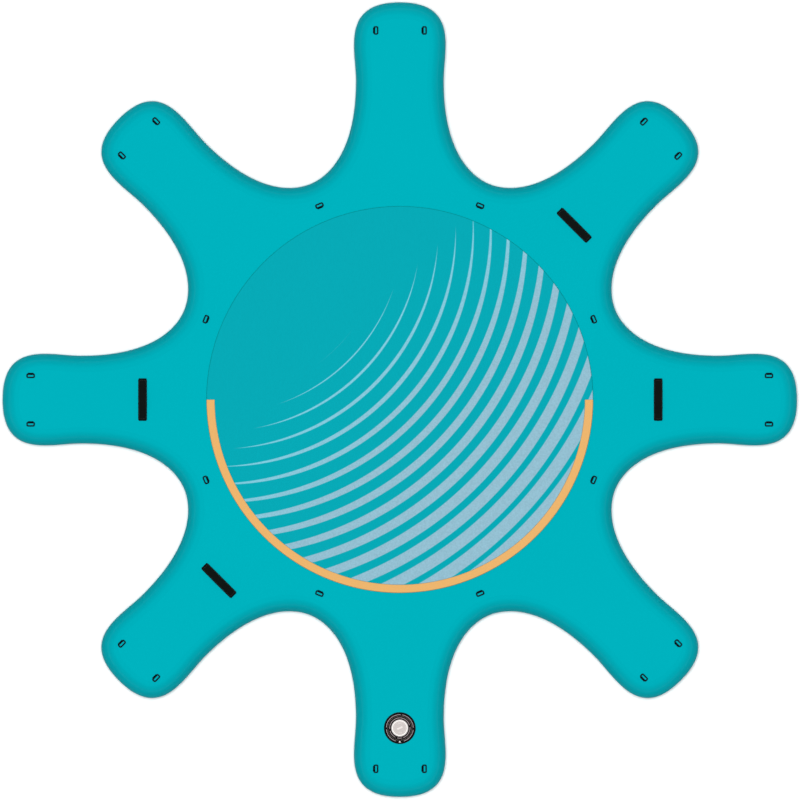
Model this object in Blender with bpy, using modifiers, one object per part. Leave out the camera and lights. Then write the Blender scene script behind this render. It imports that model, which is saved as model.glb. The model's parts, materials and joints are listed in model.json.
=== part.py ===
"""Inflatable star deck for yoga on the water: an eight-armed drop-stitch hull with a foam deck pad,
carry handles, tie-down rings and an inflation valve with a bayonet cap and a push-and-turn stem.

Metres, +Z up. The origin is the middle of the underside, +X lies along one arm and +Y two arms on.
"""

import math

import bmesh
import bpy
from mathutils import Matrix, Vector
from mathutils.geometry import interpolate_bezier

# Gap between pieces that touch
GAP = 0.0003

# Hull outline: half an arm is a curve from the bay to the waist and one from the waist to the tip
ARM_COUNT = 8
TIP_RADIUS = 1.450
TIP_HANDLE = 0.219
WAIST_SETBACK = 0.287
WAIST_HALF_WIDTH = 0.160
WAIST_HANDLE_OUT = 0.113
WAIST_HANDLE_IN = 0.272
BAY_SETBACK = 0.598
BAY_HANDLE = 0.0605
BAY_STEPS = 4
TIP_STEPS = 6

# Hull section: flat skins joined by a bulging rail
HULL_THICKNESS = 0.150
SKIN_THICKNESS = 0.0012
RAIL_REACH = 0.048
RAIL_STEPS = 6

# Deck pad, with a contrasting strip round half of it
PAD_MARGIN = 0.146
PAD_THICKNESS = 0.005
PAD_STEPS = 64
BORDER_WIDTH = 0.030

# Tie-down rings, each held down by a webbing loop
WIRE_RADIUS = 0.002
RING_LENGTH = 0.030
RING_DEPTH = 0.013
RING_CORNER = 0.0035
RING_CORNER_STEPS = 2
LOOP_THICKNESS = 0.0014
LOOP_CLEARANCE = 0.0007
LOOP_END_CLEARANCE = 0.001
LOOP_STEPS = 5
TIP_RING_SETBACK = 0.1025
SIDE_RING_SETBACK = 0.0715
BAY_RING_SETBACK = 0.087

# Carry handles: (name, arm number, distance from the edge of the deck pad)
HANDLES = (("e", 0, 0.237), ("ne", 1, 0.194), ("w", 4, 0.233), ("sw", 5, 0.228))
HANDLE_LENGTH = 0.155
HANDLE_RISE = 0.013
HANDLE_STEPS = 8
GRIP_WIDTH = 0.032
GRIP_THICKNESS = 0.009
GRIP_EDGE = 0.0035
GRIP_EDGE_STEPS = 2
GRIP_EDGE_ANGLE = math.radians(60)
STRAP_MARGIN = 0.002
STRAP_THICKNESS = 0.002
STRAP_FOOT = 0.026
STRAP_FOLD_STEPS = 4

# Valve: it sits on one arm, and its heights are counted from the deck
VALVE_ARM = 6
VALVE_SETBACK = 0.251
TURN_STEPS = 24
SMALL_TURN_STEPS = 18
PATCH_WIDTH = 0.0265
PATCH_LAP = 0.0045
PATCH_THICKNESS = 0.001
PATCH_STEPS = 36
BODY_BORE_RADIUS = 0.020
BODY_WALL = 0.0028
BODY_DEPTH = 0.031
FLANGE_WIDTH = 0.0087
FLANGE_THICKNESS = 0.004
SEAT_WIDTH = 0.006
SEAT_THICKNESS = 0.003
NUT_WALL = 0.0034
NUT_FLANGE_WIDTH = 0.0082
NUT_FLANGE_THICKNESS = 0.003
NUT_DEPTH = 0.022
POCKET_CLEARANCE = 0.002

# Valve stem, the hub that guides it and the spring that lifts it
STEM_RADIUS = 0.0027
STEM_CLEARANCE = 0.0003
STEM_TRAVEL = 0.007
LUG_LENGTH = 0.0015
LUG_WIDTH = 0.0018
LUG_HEIGHT = 0.0020
SPRING_CLEARANCE = 0.00035
SPRING_WIRE_RADIUS = 0.00045
SPRING_TURNS = 4
SPRING_TURN_POINTS = 9
KNOB_LAP = 0.00075
KNOB_THICKNESS = 0.003
KNOB_DEPTH = 0.001
HUB_LAP = 0.00205
HUB_THICKNESS = 0.003
HUB_TOP = -0.017
SPOKE_COUNT = 3
SPOKE_WIDTH = 0.003
SEAL_LAP = 0.003
SEAL_THICKNESS = 0.0022
PLATE_MARGIN = 0.002
PLATE_THICKNESS = 0.0015

# Valve cap with its bayonet lugs and gasket
CAP_MARGIN = 0.0025
CAP_THICKNESS = 0.0035
CAP_RIM = 0.004
CAP_DISH = 0.0008
SKIRT_CLEARANCE = 0.0005
SKIRT_THICKNESS = 0.0022
SKIRT_DEPTH = 0.006
BAYONET_COUNT = 2
BAYONET_HALF_ANGLE = math.radians(10)
BAYONET_PLAY_ANGLE = math.radians(3)
BAYONET_TURN = math.radians(90)
BAYONET_REACH = 0.0018
BAYONET_HEIGHT = 0.0022
BAYONET_PLAY = 0.0006
BAYONET_LUG_STEPS = 3
BAYONET_ENTRY_STEPS = 4
BAYONET_RUN_STEPS = 12
FLUTE_COUNT = 16
FLUTE_RADIUS = 0.0018
FLUTE_STEPS = 8
GASKET_MARGIN = 0.0045
GASKET_WIDTH = 0.0024
GASKET_THICKNESS = 0.0015
GASKET_PROUD = 0.0005

# Edges: share of a thickness that is cut off a hard edge and a soft one, and the least angle of a crease
HARD_EDGE = 0.25
SOFT_EDGE = 0.3
CREASE_ANGLE = math.radians(40)

# Meshes: distances within which points are welded, and the roundness of bent wire
WELD_DISTANCE = 1e-6
TURN_WELD_DISTANCE = 1e-5
WIRE_RESOLUTION = 1

# Colours, as red, green and blue in linear light
TEAL = (0.003, 0.456, 0.521)
PAD_TEAL = (0.003, 0.413, 0.485)
ORANGE = (0.880, 0.468, 0.144)
BLACK = (0.012, 0.013, 0.013)
WHITE = (0.800, 0.790, 0.780)
WARM_GREY = (0.740, 0.700, 0.700)
STEEL = (0.560, 0.560, 0.570)

# Roughness of each kind of surface
FABRIC_ROUGHNESS = 0.4
FOAM_ROUGHNESS = 0.7
WEBBING_ROUGHNESS = 0.8
RUBBER_ROUGHNESS = 0.6
PLASTIC_ROUGHNESS = 0.4
METAL_ROUGHNESS = 0.3

# Values that follow from the ones above
ARM_PITCH = math.tau / ARM_COUNT
ARM_NAMES = ("e", "ne", "n", "nw", "w", "sw", "s", "se")
BAY_NAMES = ("ene", "nne", "nnw", "wnw", "wsw", "ssw", "sse", "ese")
DECK = HULL_THICKNESS
HALF_THICKNESS = HULL_THICKNESS / 2
BAY_RADIUS = TIP_RADIUS - BAY_SETBACK
PAD_RADIUS = BAY_RADIUS - PAD_MARGIN
TIP_RING_RADIUS = TIP_RADIUS - TIP_RING_SETBACK
TIP_RING_SPREAD = WAIST_HALF_WIDTH - SIDE_RING_SETBACK
BAY_RING_RADIUS = BAY_RADIUS - BAY_RING_SETBACK
LOOP_WIDTH = RING_LENGTH - 4 * WIRE_RADIUS - 2 * LOOP_END_CLEARANCE
LOOP_INNER_RADIUS = WIRE_RADIUS + LOOP_CLEARANCE
LOOP_OUTER_RADIUS = LOOP_INNER_RADIUS + LOOP_THICKNESS
RING_AXIS_HEIGHT = DECK + GAP + WIRE_RADIUS
RING_SETBACK = (RING_DEPTH + WIRE_RADIUS - LOOP_OUTER_RADIUS) / 2
STRAP_WIDTH = GRIP_WIDTH - 2 * STRAP_MARGIN
BODY_RADIUS = BODY_BORE_RADIUS + BODY_WALL
BODY_BASE = 2 * GAP + PATCH_THICKNESS
BODY_TOP = BODY_BASE + FLANGE_THICKNESS
FLANGE_RADIUS = BODY_RADIUS + FLANGE_WIDTH
SKIN_HOLE_RADIUS = BODY_RADIUS + 2 * GAP
NUT_BORE_RADIUS = BODY_RADIUS + GAP
NUT_FLANGE_RADIUS = BODY_RADIUS + NUT_FLANGE_WIDTH
SEAT_RADIUS = BODY_BORE_RADIUS - SEAT_WIDTH
LUG_REACH = STEM_RADIUS + LUG_LENGTH
SPRING_RADIUS = LUG_REACH + SPRING_CLEARANCE + SPRING_WIRE_RADIUS
SPRING_OUTER_RADIUS = SPRING_RADIUS + SPRING_WIRE_RADIUS
KNOB_BASE = -KNOB_DEPTH - KNOB_THICKNESS
HUB_RADIUS = SPRING_OUTER_RADIUS + HUB_LAP
HUB_BASE = HUB_TOP - HUB_THICKNESS
SEAL_TOP = -BODY_DEPTH - GAP
SEAL_BASE = SEAL_TOP - SEAL_THICKNESS
PLATE_TOP = SEAL_BASE - GAP
PLATE_BASE = PLATE_TOP - PLATE_THICKNESS
POCKET_BASE = PLATE_BASE - STEM_TRAVEL - POCKET_CLEARANCE
CAP_RADIUS = FLANGE_RADIUS - CAP_MARGIN
CAP_BASE = BODY_TOP + GAP + GASKET_PROUD
SKIRT_RADIUS = BODY_BORE_RADIUS - SKIRT_CLEARANCE
SKIRT_INNER_RADIUS = SKIRT_RADIUS - SKIRT_THICKNESS
BAYONET_BASE = BAYONET_PLAY - SKIRT_DEPTH
BAYONET_TOP = BAYONET_BASE + BAYONET_HEIGHT
GASKET_RADIUS = CAP_RADIUS - GASKET_MARGIN
GASKET_BASE = BODY_TOP + GAP
GASKET_TOP = GASKET_BASE + GASKET_THICKNESS

PARTS = bpy.data.collections.new("inflatable_yoga_platform")
HELPERS = bpy.data.collections.new("cutters")


def clear_scene():
    for obj in list(bpy.data.objects):
        bpy.data.objects.remove(obj)
    for collection in (PARTS, HELPERS):
        bpy.context.scene.collection.children.link(collection)


def paint(obj, colour, roughness, metallic=0.0):
    """Gives a piece a material of its own."""
    material = bpy.data.materials.new(obj.name)
    material.use_nodes = True
    shader = material.node_tree.nodes["Principled BSDF"]
    shader.inputs["Base Color"].default_value = (*colour, 1)
    shader.inputs["Roughness"].default_value = roughness
    shader.inputs["Metallic"].default_value = metallic
    obj.data.materials.append(material)


def add_part(obj, colour, roughness, metallic=0.0):
    """Puts a finished piece in the model."""
    paint(obj, colour, roughness, metallic)
    PARTS.objects.link(obj)


def add_helper(obj):
    """Puts a shape that cuts or joins another with the helpers, out of the render."""
    HELPERS.objects.link(obj)
    obj.hide_render = True
    obj.display_type = "WIRE"
    return obj


def shade_round(obj):
    obj.data.shade_smooth()
    obj.data.set_sharp_from_angle(angle=CREASE_ANGLE)


def combine(obj, helper, operation):
    modifier = obj.modifiers.new(helper.name, "BOOLEAN")
    modifier.operation = operation
    modifier.solver = "EXACT"
    modifier.object = add_helper(helper)


def polar(radius, angle):
    return Vector((radius * math.cos(angle), radius * math.sin(angle), 0))


def arc(radius, start, end, steps):
    return [polar(radius, start + (end - start) * i / steps) for i in range(steps + 1)]


def circle(radius, steps, centre=Vector()):
    return [centre + point for point in arc(radius, 0, math.tau, steps)[:-1]]


def sector(inner, outer, start, end, steps):
    """A closed piece of a ring, from one angle to another."""
    return arc(outer, start, end, steps) + arc(inner, end, start, steps)


def rectangle(x_low, x_high, y_low, y_high, angle=0.0):
    turn = Matrix.Rotation(angle, 3, "Z")
    corners = ((x_low, y_low), (x_high, y_low), (x_high, y_high), (x_low, y_high))
    return [turn @ Vector((x, y, 0)) for x, y in corners]


def flat_curve(name, loops, low, high):
    """A flat sheet between two heights. Loops inside the outer one are holes."""
    data = bpy.data.curves.new(name, "CURVE")
    data.dimensions = "2D"
    data.fill_mode = "BOTH"
    data.extrude = (high - low) / 2
    for loop in loops:
        spline = data.splines.new("POLY")
        spline.points.add(len(loop) - 1)
        for point, place in zip(spline.points, loop):
            point.co = (place.x, place.y, 0, 1)
        spline.use_cyclic_u = True
    obj = bpy.data.objects.new(name, data)
    obj.location.z = (low + high) / 2
    return obj


def as_mesh(curve):
    """The curve's surface as a closed mesh in the curve's own place."""
    PARTS.objects.link(curve)
    bpy.context.view_layer.update()
    evaluated = curve.evaluated_get(bpy.context.evaluated_depsgraph_get())
    mesh = bpy.data.meshes.new_from_object(evaluated)
    welded = bmesh.new()
    welded.from_mesh(mesh)
    bmesh.ops.remove_doubles(welded, verts=welded.verts, dist=WELD_DISTANCE)
    welded.to_mesh(mesh)
    welded.free()
    obj = bpy.data.objects.new(curve.name, mesh)
    obj.matrix_world = curve.matrix_world
    name = curve.name
    bpy.data.objects.remove(curve)
    obj.name = name
    return obj


def prism(name, loops, low, high, base=Vector()):
    """A flat mesh between two heights above a base point."""
    obj = as_mesh(flat_curve(name, loops, low, high))
    obj.location += base
    return obj


def turned(name, profile, steps, base, closed=False):
    """A body of revolution. The profile is (radius, height) pairs, down the outer side from the top."""
    edges = [(i, i + 1) for i in range(len(profile) - 1)]
    if closed:
        edges.append((len(profile) - 1, 0))
    mesh = bpy.data.meshes.new(name)
    mesh.from_pydata([(radius, 0, height) for radius, height in profile], edges, [])
    obj = bpy.data.objects.new(name, mesh)
    obj.location = base
    screw = obj.modifiers.new("turn", "SCREW")
    screw.steps = steps
    screw.render_steps = steps
    screw.use_merge_vertices = True
    screw.merge_threshold = TURN_WELD_DISTANCE
    screw.use_smooth_shade = True
    return obj


def offset_corner(points, i, distance, closed):
    """Point i moved to the left of the line by a distance that holds on both of its sides."""
    last = len(points) - 1
    before = points[i] - points[i - 1] if closed or i > 0 else points[1] - points[0]
    after = points[(i + 1) % len(points)] - points[i] if closed or i < last else before
    left_before = Vector((-before.y, before.x, 0)).normalized()
    left_after = Vector((-after.y, after.x, 0)).normalized()
    across = (left_before + left_after).normalized()
    return points[i] + across * (distance / across.dot(left_before))


def offset_line(points, distance, closed=False):
    return [offset_corner(points, i, distance, closed) for i in range(len(points))]


def band(name, path, thickness, width):
    """A strip of an even thickness that follows a path in its side view, upright in X and Z."""
    upper = offset_line(path, thickness / 2)
    lower = offset_line(path, -thickness / 2)
    curve = flat_curve(name, [lower + upper[::-1]], -width / 2, width / 2)
    obj = as_mesh(curve)
    obj.data.transform(Matrix.Rotation(math.radians(90), 4, "X"))
    return obj


def stand(obj, place, heading):
    """Sets a piece down at a place with its X axis turned to a heading."""
    obj.location = place
    obj.rotation_euler.z = heading
    return obj


def half_arm():
    """Half of an arm's outline, in the arm's own axes, from the middle of the bay to the tip."""
    bay_angle = ARM_PITCH / 2
    bay = polar(BAY_RADIUS, bay_angle)
    bay_handle = bay + polar(BAY_HANDLE, bay_angle - math.radians(90))
    waist = Vector((TIP_RADIUS - WAIST_SETBACK, WAIST_HALF_WIDTH, 0))
    handle_in = waist - Vector((WAIST_HANDLE_IN, 0, 0))
    handle_out = waist + Vector((WAIST_HANDLE_OUT, 0, 0))
    tip = Vector((TIP_RADIUS, 0, 0))
    tip_handle = tip + Vector((0, TIP_HANDLE, 0))
    inner = interpolate_bezier(bay, bay_handle, handle_in, waist, BAY_STEPS + 1)
    outer = interpolate_bezier(waist, handle_out, tip_handle, tip, TIP_STEPS + 1)
    return inner[:-1] + outer


def hull_outline(inset=0.0):
    """The star's outline, counterclockwise, drawn in by the same distance all round."""
    half = half_arm()
    arm = [Vector((point.x, -point.y, 0)) for point in half] + half[-2:0:-1]
    star = []
    for number in range(ARM_COUNT):
        turn = Matrix.Rotation(number * ARM_PITCH, 3, "Z")
        star += [turn @ point for point in arm]
    return offset_line(star, inset, closed=True)


def rail_section(lining):
    """(inset, height) pairs down a rail that lies this far inside the hull's outer face."""
    section = []
    for i in range(RAIL_STEPS + 1):
        angle = math.radians(90) - math.pi * i / RAIL_STEPS
        inset = RAIL_REACH - (RAIL_REACH - lining) * math.cos(angle)
        height = HALF_THICKNESS + (HALF_THICKNESS - lining) * math.sin(angle)
        section.append((inset, height))
    return section


def loft(name, levels, closed):
    """A body through the star's outline at each level, closed on itself or capped at both ends."""
    body = bmesh.new()
    rows = [[body.verts.new((p.x, p.y, height)) for p in hull_outline(inset)] for inset, height in levels]
    pairs = list(zip(rows, rows[1:]))
    if closed:
        pairs.append((rows[-1], rows[0]))
    else:
        body.faces.new(rows[0])
        body.faces.new(reversed(rows[-1]))
    for upper, lower in pairs:
        for i in range(len(upper)):
            body.faces.new((upper[i - 1], lower[i - 1], lower[i], upper[i]))
    bmesh.ops.recalc_face_normals(body, faces=body.faces)
    mesh = bpy.data.meshes.new(name)
    body.to_mesh(mesh)
    body.free()
    obj = bpy.data.objects.new(name, mesh)
    shade_round(obj)
    return obj


def valve_place():
    return polar(TIP_RADIUS - VALVE_SETBACK, VALVE_ARM * ARM_PITCH) + Vector((0, 0, DECK))


def ring_places():
    """(name, middle of the fitting, direction in which the ring lies) for every tie-down ring."""
    places = []
    for number, arm in enumerate(ARM_NAMES):
        heading = number * ARM_PITCH
        lying = (number % (ARM_COUNT // 2)) * ARM_PITCH - math.radians(90)
        for side, lateral in (("left", TIP_RING_SPREAD), ("right", -TIP_RING_SPREAD)):
            middle = polar(TIP_RING_RADIUS, heading) + polar(lateral, heading + math.radians(90))
            places.append((f"tip_ring_{arm}_{side}", middle, lying))
    for number, bay in enumerate(BAY_NAMES):
        heading = (number + 0.5) * ARM_PITCH
        places.append((f"bay_ring_{bay}", polar(BAY_RING_RADIUS, heading), heading))
    return places


def bar_place(middle, lying):
    """Where the straight bar of a ring turns in its webbing loop."""
    return middle - polar(RING_SETBACK, lying) + Vector((0, 0, RING_AXIS_HEIGHT))


def make_core():
    core = loft("drop_stitch_core", rail_section(SKIN_THICKNESS + GAP), closed=False)
    pocket_radius = NUT_FLANGE_RADIUS + POCKET_CLEARANCE
    pocket = prism("valve_pocket", [circle(pocket_radius, TURN_STEPS)], POCKET_BASE, GAP, valve_place())
    combine(core, pocket, "DIFFERENCE")
    add_part(core, WHITE, WEBBING_ROUGHNESS)


def make_side_wall():
    outer = rail_section(0.0)
    inner = rail_section(SKIN_THICKNESS)
    add_part(loft("side_wall", outer + inner[::-1], closed=True), TEAL, FABRIC_ROUGHNESS)


def webbing_loop(name, middle, lying):
    """An arch over the ring's bar, its feet let into the skin below."""
    leg = GAP + WIRE_RADIUS + SKIN_THICKNESS / 2
    radius = (LOOP_INNER_RADIUS + LOOP_OUTER_RADIUS) / 2
    path = [Vector((-radius, -leg, 0))] + arc(radius, math.pi, 0, LOOP_STEPS) + [Vector((radius, -leg, 0))]
    loop = band(name, path, LOOP_THICKNESS, LOOP_WIDTH)
    paint(loop, BLACK, WEBBING_ROUGHNESS)
    return stand(loop, bar_place(middle, lying), lying)


def make_skins():
    edge = hull_outline(RAIL_REACH + GAP)
    valve_hole = circle(SKIN_HOLE_RADIUS, TURN_STEPS, valve_place())
    top = prism("top_skin", [edge, valve_hole], DECK - SKIN_THICKNESS, DECK)
    loops = bpy.data.collections.new("webbing_loops")
    HELPERS.children.link(loops)
    for name, middle, lying in ring_places():
        loops.objects.link(add_helper(webbing_loop(name + "_loop", middle, lying)))
    joined = top.modifiers.new("loops", "BOOLEAN")
    joined.operation = "UNION"
    joined.solver = "EXACT"
    joined.operand_type = "COLLECTION"
    joined.material_mode = "TRANSFER"
    joined.collection = loops
    add_part(top, TEAL, FABRIC_ROUGHNESS)
    add_part(prism("bottom_skin", [edge], 0, SKIN_THICKNESS), TEAL, FABRIC_ROUGHNESS)


def make_deck_pad():
    low = DECK + GAP
    high = low + PAD_THICKNESS
    half_steps = PAD_STEPS // 2
    notch_radius = PAD_RADIUS - BORDER_WIDTH - GAP
    pad = arc(PAD_RADIUS, 0, math.pi, half_steps) + arc(notch_radius, math.pi, math.tau, half_steps)
    add_part(flat_curve("deck_pad", [pad], low, high), PAD_TEAL, FOAM_ROUGHNESS)
    end_gap = GAP / (PAD_RADIUS - BORDER_WIDTH)
    ends = (math.pi + end_gap, math.tau - end_gap)
    border = sector(PAD_RADIUS - BORDER_WIDTH, PAD_RADIUS, *ends, half_steps)
    add_part(flat_curve("deck_pad_border", [border], low, high), ORANGE, FOAM_ROUGHNESS)


def ring_path():
    """The middle line of a ring's wire: a straight bar at Y 0 and round corners."""
    half_length = RING_LENGTH / 2 - WIRE_RADIUS
    corners = (
        (half_length, 0, -90),
        (half_length, RING_DEPTH, 0),
        (-half_length, RING_DEPTH, 90),
        (-half_length, 0, 180),
    )
    path = []
    for x, y, start in corners:
        pull = Vector((math.copysign(RING_CORNER, x), RING_CORNER if y else -RING_CORNER, 0))
        centre = Vector((x, y, 0)) - pull
        turn = arc(RING_CORNER, math.radians(start), math.radians(start + 90), RING_CORNER_STEPS)
        path += [centre + point for point in turn]
    return path


def tube(name, path, radius, closed):
    data = bpy.data.curves.new(name, "CURVE")
    data.dimensions = "3D"
    data.bevel_depth = radius
    data.bevel_resolution = WIRE_RESOLUTION
    data.use_fill_caps = not closed
    spline = data.splines.new("POLY")
    spline.points.add(len(path) - 1)
    for point, place in zip(spline.points, path):
        point.co = (*place, 1)
    spline.use_cyclic_u = closed
    spline.use_smooth = True
    return bpy.data.objects.new(name, data)


def make_rings():
    path = ring_path()
    for name, middle, lying in ring_places():
        ring = tube(name, path, WIRE_RADIUS, closed=True)
        stand(ring, bar_place(middle, lying), lying - math.radians(90))
        add_part(ring, BLACK, METAL_ROUGHNESS)


def handle_heights():
    """Heights above the deck of the strap's middle line: lying on the skin, and at the grip's ends."""
    foot = GAP + STRAP_THICKNESS / 2
    end = 2 * GAP + STRAP_THICKNESS + GRIP_THICKNESS / 2
    return foot, end


def handle_arch():
    """The middle line of the grip, from end to end."""
    foot, end = handle_heights()
    fold = (end - foot) / 2 + STRAP_THICKNESS / 2
    half_length = HANDLE_LENGTH / 2 - fold
    arch = []
    for i in range(HANDLE_STEPS + 1):
        along = 2 * i / HANDLE_STEPS - 1
        rise = HANDLE_RISE * math.cos(along * math.radians(90)) ** 2
        arch.append(Vector((along * half_length, end + rise, 0)))
    return arch


def strap_path():
    """The strap under its foot, round the fold, along the grip and down to the other foot."""
    foot, end = handle_heights()
    arch = handle_arch()
    radius = (end - foot) / 2
    centre = Vector((arch[-1].x, foot + radius, 0))
    turn = arc(radius, math.radians(90), math.radians(-90), STRAP_FOLD_STEPS)
    fold = [centre + point for point in turn[1:]]
    right = fold + [Vector((centre.x - STRAP_FOOT, foot, 0))]
    left = [Vector((-point.x, point.y, 0)) for point in reversed(right)]
    return left + arch + right


def round_grip(grip):
    bevel = grip.modifiers.new("rounded", "BEVEL")
    bevel.width = GRIP_EDGE
    bevel.segments = GRIP_EDGE_STEPS
    bevel.limit_method = "ANGLE"
    bevel.angle_limit = GRIP_EDGE_ANGLE


def make_handles():
    for name, arm, distance in HANDLES:
        heading = arm * ARM_PITCH
        place = polar(PAD_RADIUS + distance, heading) + Vector((0, 0, DECK))
        across = heading + math.radians(90)
        grip = band(f"handle_grip_{name}", handle_arch(), GRIP_THICKNESS, GRIP_WIDTH)
        shade_round(grip)
        round_grip(grip)
        slot = band(f"strap_slot_{name}", strap_path(), STRAP_THICKNESS + 2 * GAP, STRAP_WIDTH + 2 * GAP)
        combine(stand(grip, place, across), stand(slot, place, across), "DIFFERENCE")
        add_part(grip, BLACK, FOAM_ROUGHNESS)
        strap = band(f"handle_strap_{name}", strap_path(), STRAP_THICKNESS, STRAP_WIDTH)
        add_part(stand(strap, place, across), BLACK, WEBBING_ROUGHNESS)


def make_valve_patch():
    edge = circle(FLANGE_RADIUS + PATCH_WIDTH, PATCH_STEPS)
    hole = circle(FLANGE_RADIUS - PATCH_LAP, TURN_STEPS)
    patch = flat_curve("valve_patch", [edge, hole], GAP, GAP + PATCH_THICKNESS)
    patch.location += valve_place()
    add_part(patch, BLACK, RUBBER_ROUGHNESS)


def add_hub(body, place):
    """The stem's guide in the bore: a hub on spokes, with a bore and a keyway for the stem's lugs."""
    combine(body, prism("hub", [circle(HUB_RADIUS, SMALL_TURN_STEPS)], HUB_BASE, HUB_TOP, place), "UNION")
    spoke_end = BODY_BORE_RADIUS + BODY_WALL / 2
    for i in range(SPOKE_COUNT):
        angle = math.tau * i / SPOKE_COUNT
        outline = rectangle(HUB_RADIUS / 2, spoke_end, -SPOKE_WIDTH / 2, SPOKE_WIDTH / 2, angle)
        spoke = prism(f"spoke_{i}", [outline], HUB_BASE + GAP, HUB_TOP - GAP, place)
        combine(body, spoke, "UNION")
    bore = [circle(STEM_RADIUS + STEM_CLEARANCE, SMALL_TURN_STEPS)]
    combine(body, prism("stem_bore", bore, HUB_BASE - GAP, HUB_TOP + GAP, place), "DIFFERENCE")
    reach = LUG_REACH + STEM_CLEARANCE
    half_width = LUG_WIDTH / 2 + STEM_CLEARANCE
    keyway = [rectangle(-reach, reach, -half_width, half_width)]
    combine(body, prism("stem_keyway", keyway, HUB_BASE - GAP, HUB_TOP + GAP, place), "DIFFERENCE")


def cut_bayonet(body, place):
    """Entries down from the rim, each with a run on which the cap's lug turns clockwise."""
    low = BAYONET_BASE - BAYONET_PLAY
    high = BAYONET_TOP + BAYONET_PLAY
    groove = BODY_BORE_RADIUS - BAYONET_REACH, SKIRT_RADIUS + BAYONET_REACH + SKIRT_CLEARANCE
    half_angle = BAYONET_HALF_ANGLE + BAYONET_PLAY_ANGLE
    for i in range(BAYONET_COUNT):
        start = math.tau * i / BAYONET_COUNT - half_angle
        end = start + 2 * half_angle
        entry = sector(*groove, start, end, BAYONET_ENTRY_STEPS)
        combine(body, prism(f"bayonet_entry_{i}", [entry], low, BODY_TOP + GAP, place), "DIFFERENCE")
        run = sector(*groove, start - BAYONET_TURN, end, BAYONET_RUN_STEPS)
        combine(body, prism(f"bayonet_run_{i}", [run], low, high, place), "DIFFERENCE")


def make_valve_body():
    """The upper valve: a flange on the deck, and a bore with a seat at its foot."""
    edge = FLANGE_THICKNESS * HARD_EDGE
    profile = (
        (FLANGE_RADIUS - edge, BODY_TOP),
        (FLANGE_RADIUS, BODY_TOP - edge),
        (FLANGE_RADIUS, BODY_BASE),
        (BODY_RADIUS, BODY_BASE),
        (BODY_RADIUS, -BODY_DEPTH),
        (SEAT_RADIUS, -BODY_DEPTH),
        (SEAT_RADIUS, SEAT_THICKNESS - BODY_DEPTH),
        (BODY_BORE_RADIUS, SEAT_THICKNESS - BODY_DEPTH),
        (BODY_BORE_RADIUS, BODY_TOP),
    )
    place = valve_place()
    body = turned("valve_body", profile, TURN_STEPS, place, closed=True)
    add_hub(body, place)
    cut_bayonet(body, place)
    add_part(body, WHITE, PLASTIC_ROUGHNESS)


def make_valve_nut():
    """The nut inside the hull that clamps the skin against the upper valve."""
    top = -SKIN_THICKNESS - GAP
    wall_radius = NUT_BORE_RADIUS + NUT_WALL
    profile = (
        (NUT_FLANGE_RADIUS, top),
        (NUT_FLANGE_RADIUS, top - NUT_FLANGE_THICKNESS),
        (wall_radius, top - NUT_FLANGE_THICKNESS),
        (wall_radius, -NUT_DEPTH),
        (NUT_BORE_RADIUS, -NUT_DEPTH),
        (NUT_BORE_RADIUS, top),
    )
    nut = turned("valve_base_nut", profile, TURN_STEPS, valve_place(), closed=True)
    add_part(nut, WHITE, PLASTIC_ROUGHNESS)


def make_stem():
    """The stem with its knob, its two lugs and the plate that lifts the seal."""
    edge = KNOB_THICKNESS * HARD_EDGE
    knob_radius = SPRING_OUTER_RADIUS + KNOB_LAP
    plate_radius = SEAT_RADIUS - PLATE_MARGIN
    profile = (
        (0, -KNOB_DEPTH),
        (knob_radius - edge, -KNOB_DEPTH),
        (knob_radius, -KNOB_DEPTH - edge),
        (knob_radius, KNOB_BASE),
        (STEM_RADIUS, KNOB_BASE),
        (STEM_RADIUS, PLATE_TOP),
        (plate_radius, PLATE_TOP),
        (plate_radius, PLATE_BASE),
        (0, PLATE_BASE),
    )
    place = valve_place()
    stem = turned("valve_stem", profile, SMALL_TURN_STEPS, place)
    lugs = [rectangle(-LUG_REACH, LUG_REACH, -LUG_WIDTH / 2, LUG_WIDTH / 2)]
    low = HUB_TOP + GAP
    combine(stem, prism("stem_lugs", lugs, low, low + LUG_HEIGHT, place), "UNION")
    add_part(stem, WHITE, PLASTIC_ROUGHNESS)


def make_seal():
    inner = STEM_RADIUS + STEM_CLEARANCE
    outer = SEAT_RADIUS + SEAL_LAP
    edge = SEAL_THICKNESS * SOFT_EDGE
    profile = (
        (outer - edge, SEAL_TOP),
        (outer, SEAL_TOP - edge),
        (outer, SEAL_BASE + edge),
        (outer - edge, SEAL_BASE),
        (inner, SEAL_BASE),
        (inner, SEAL_TOP),
    )
    seal = turned("valve_seal", profile, SMALL_TURN_STEPS, valve_place(), closed=True)
    add_part(seal, BLACK, RUBBER_ROUGHNESS)


def least_own_gap(path, radius, turn_points):
    """The smallest space between one turn of a spring and the next."""
    spans = []
    for i, point in enumerate(path):
        for other in path[i + turn_points // 2 :]:
            spans.append((other - point).length - 2 * radius)
    return min(spans)


def make_spring():
    """A compression spring from the hub up to the knob, in one unbroken tube."""
    low = HUB_TOP + GAP + SPRING_WIRE_RADIUS
    high = KNOB_BASE - GAP - SPRING_WIRE_RADIUS
    count = SPRING_TURNS * SPRING_TURN_POINTS
    path = []
    for i in range(count + 1):
        along = i / count
        height = low + (high - low) * along
        path.append(polar(SPRING_RADIUS, math.tau * SPRING_TURNS * along) + Vector((0, 0, height)))
    gap = least_own_gap(path, SPRING_WIRE_RADIUS, SPRING_TURN_POINTS)
    print(f"valve_spring: least gap to itself {gap * 1000:.2f} mm")
    spring = tube("valve_spring", path, SPRING_WIRE_RADIUS, closed=False)
    spring.location = valve_place()
    add_part(spring, STEEL, METAL_ROUGHNESS, 1.0)


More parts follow.
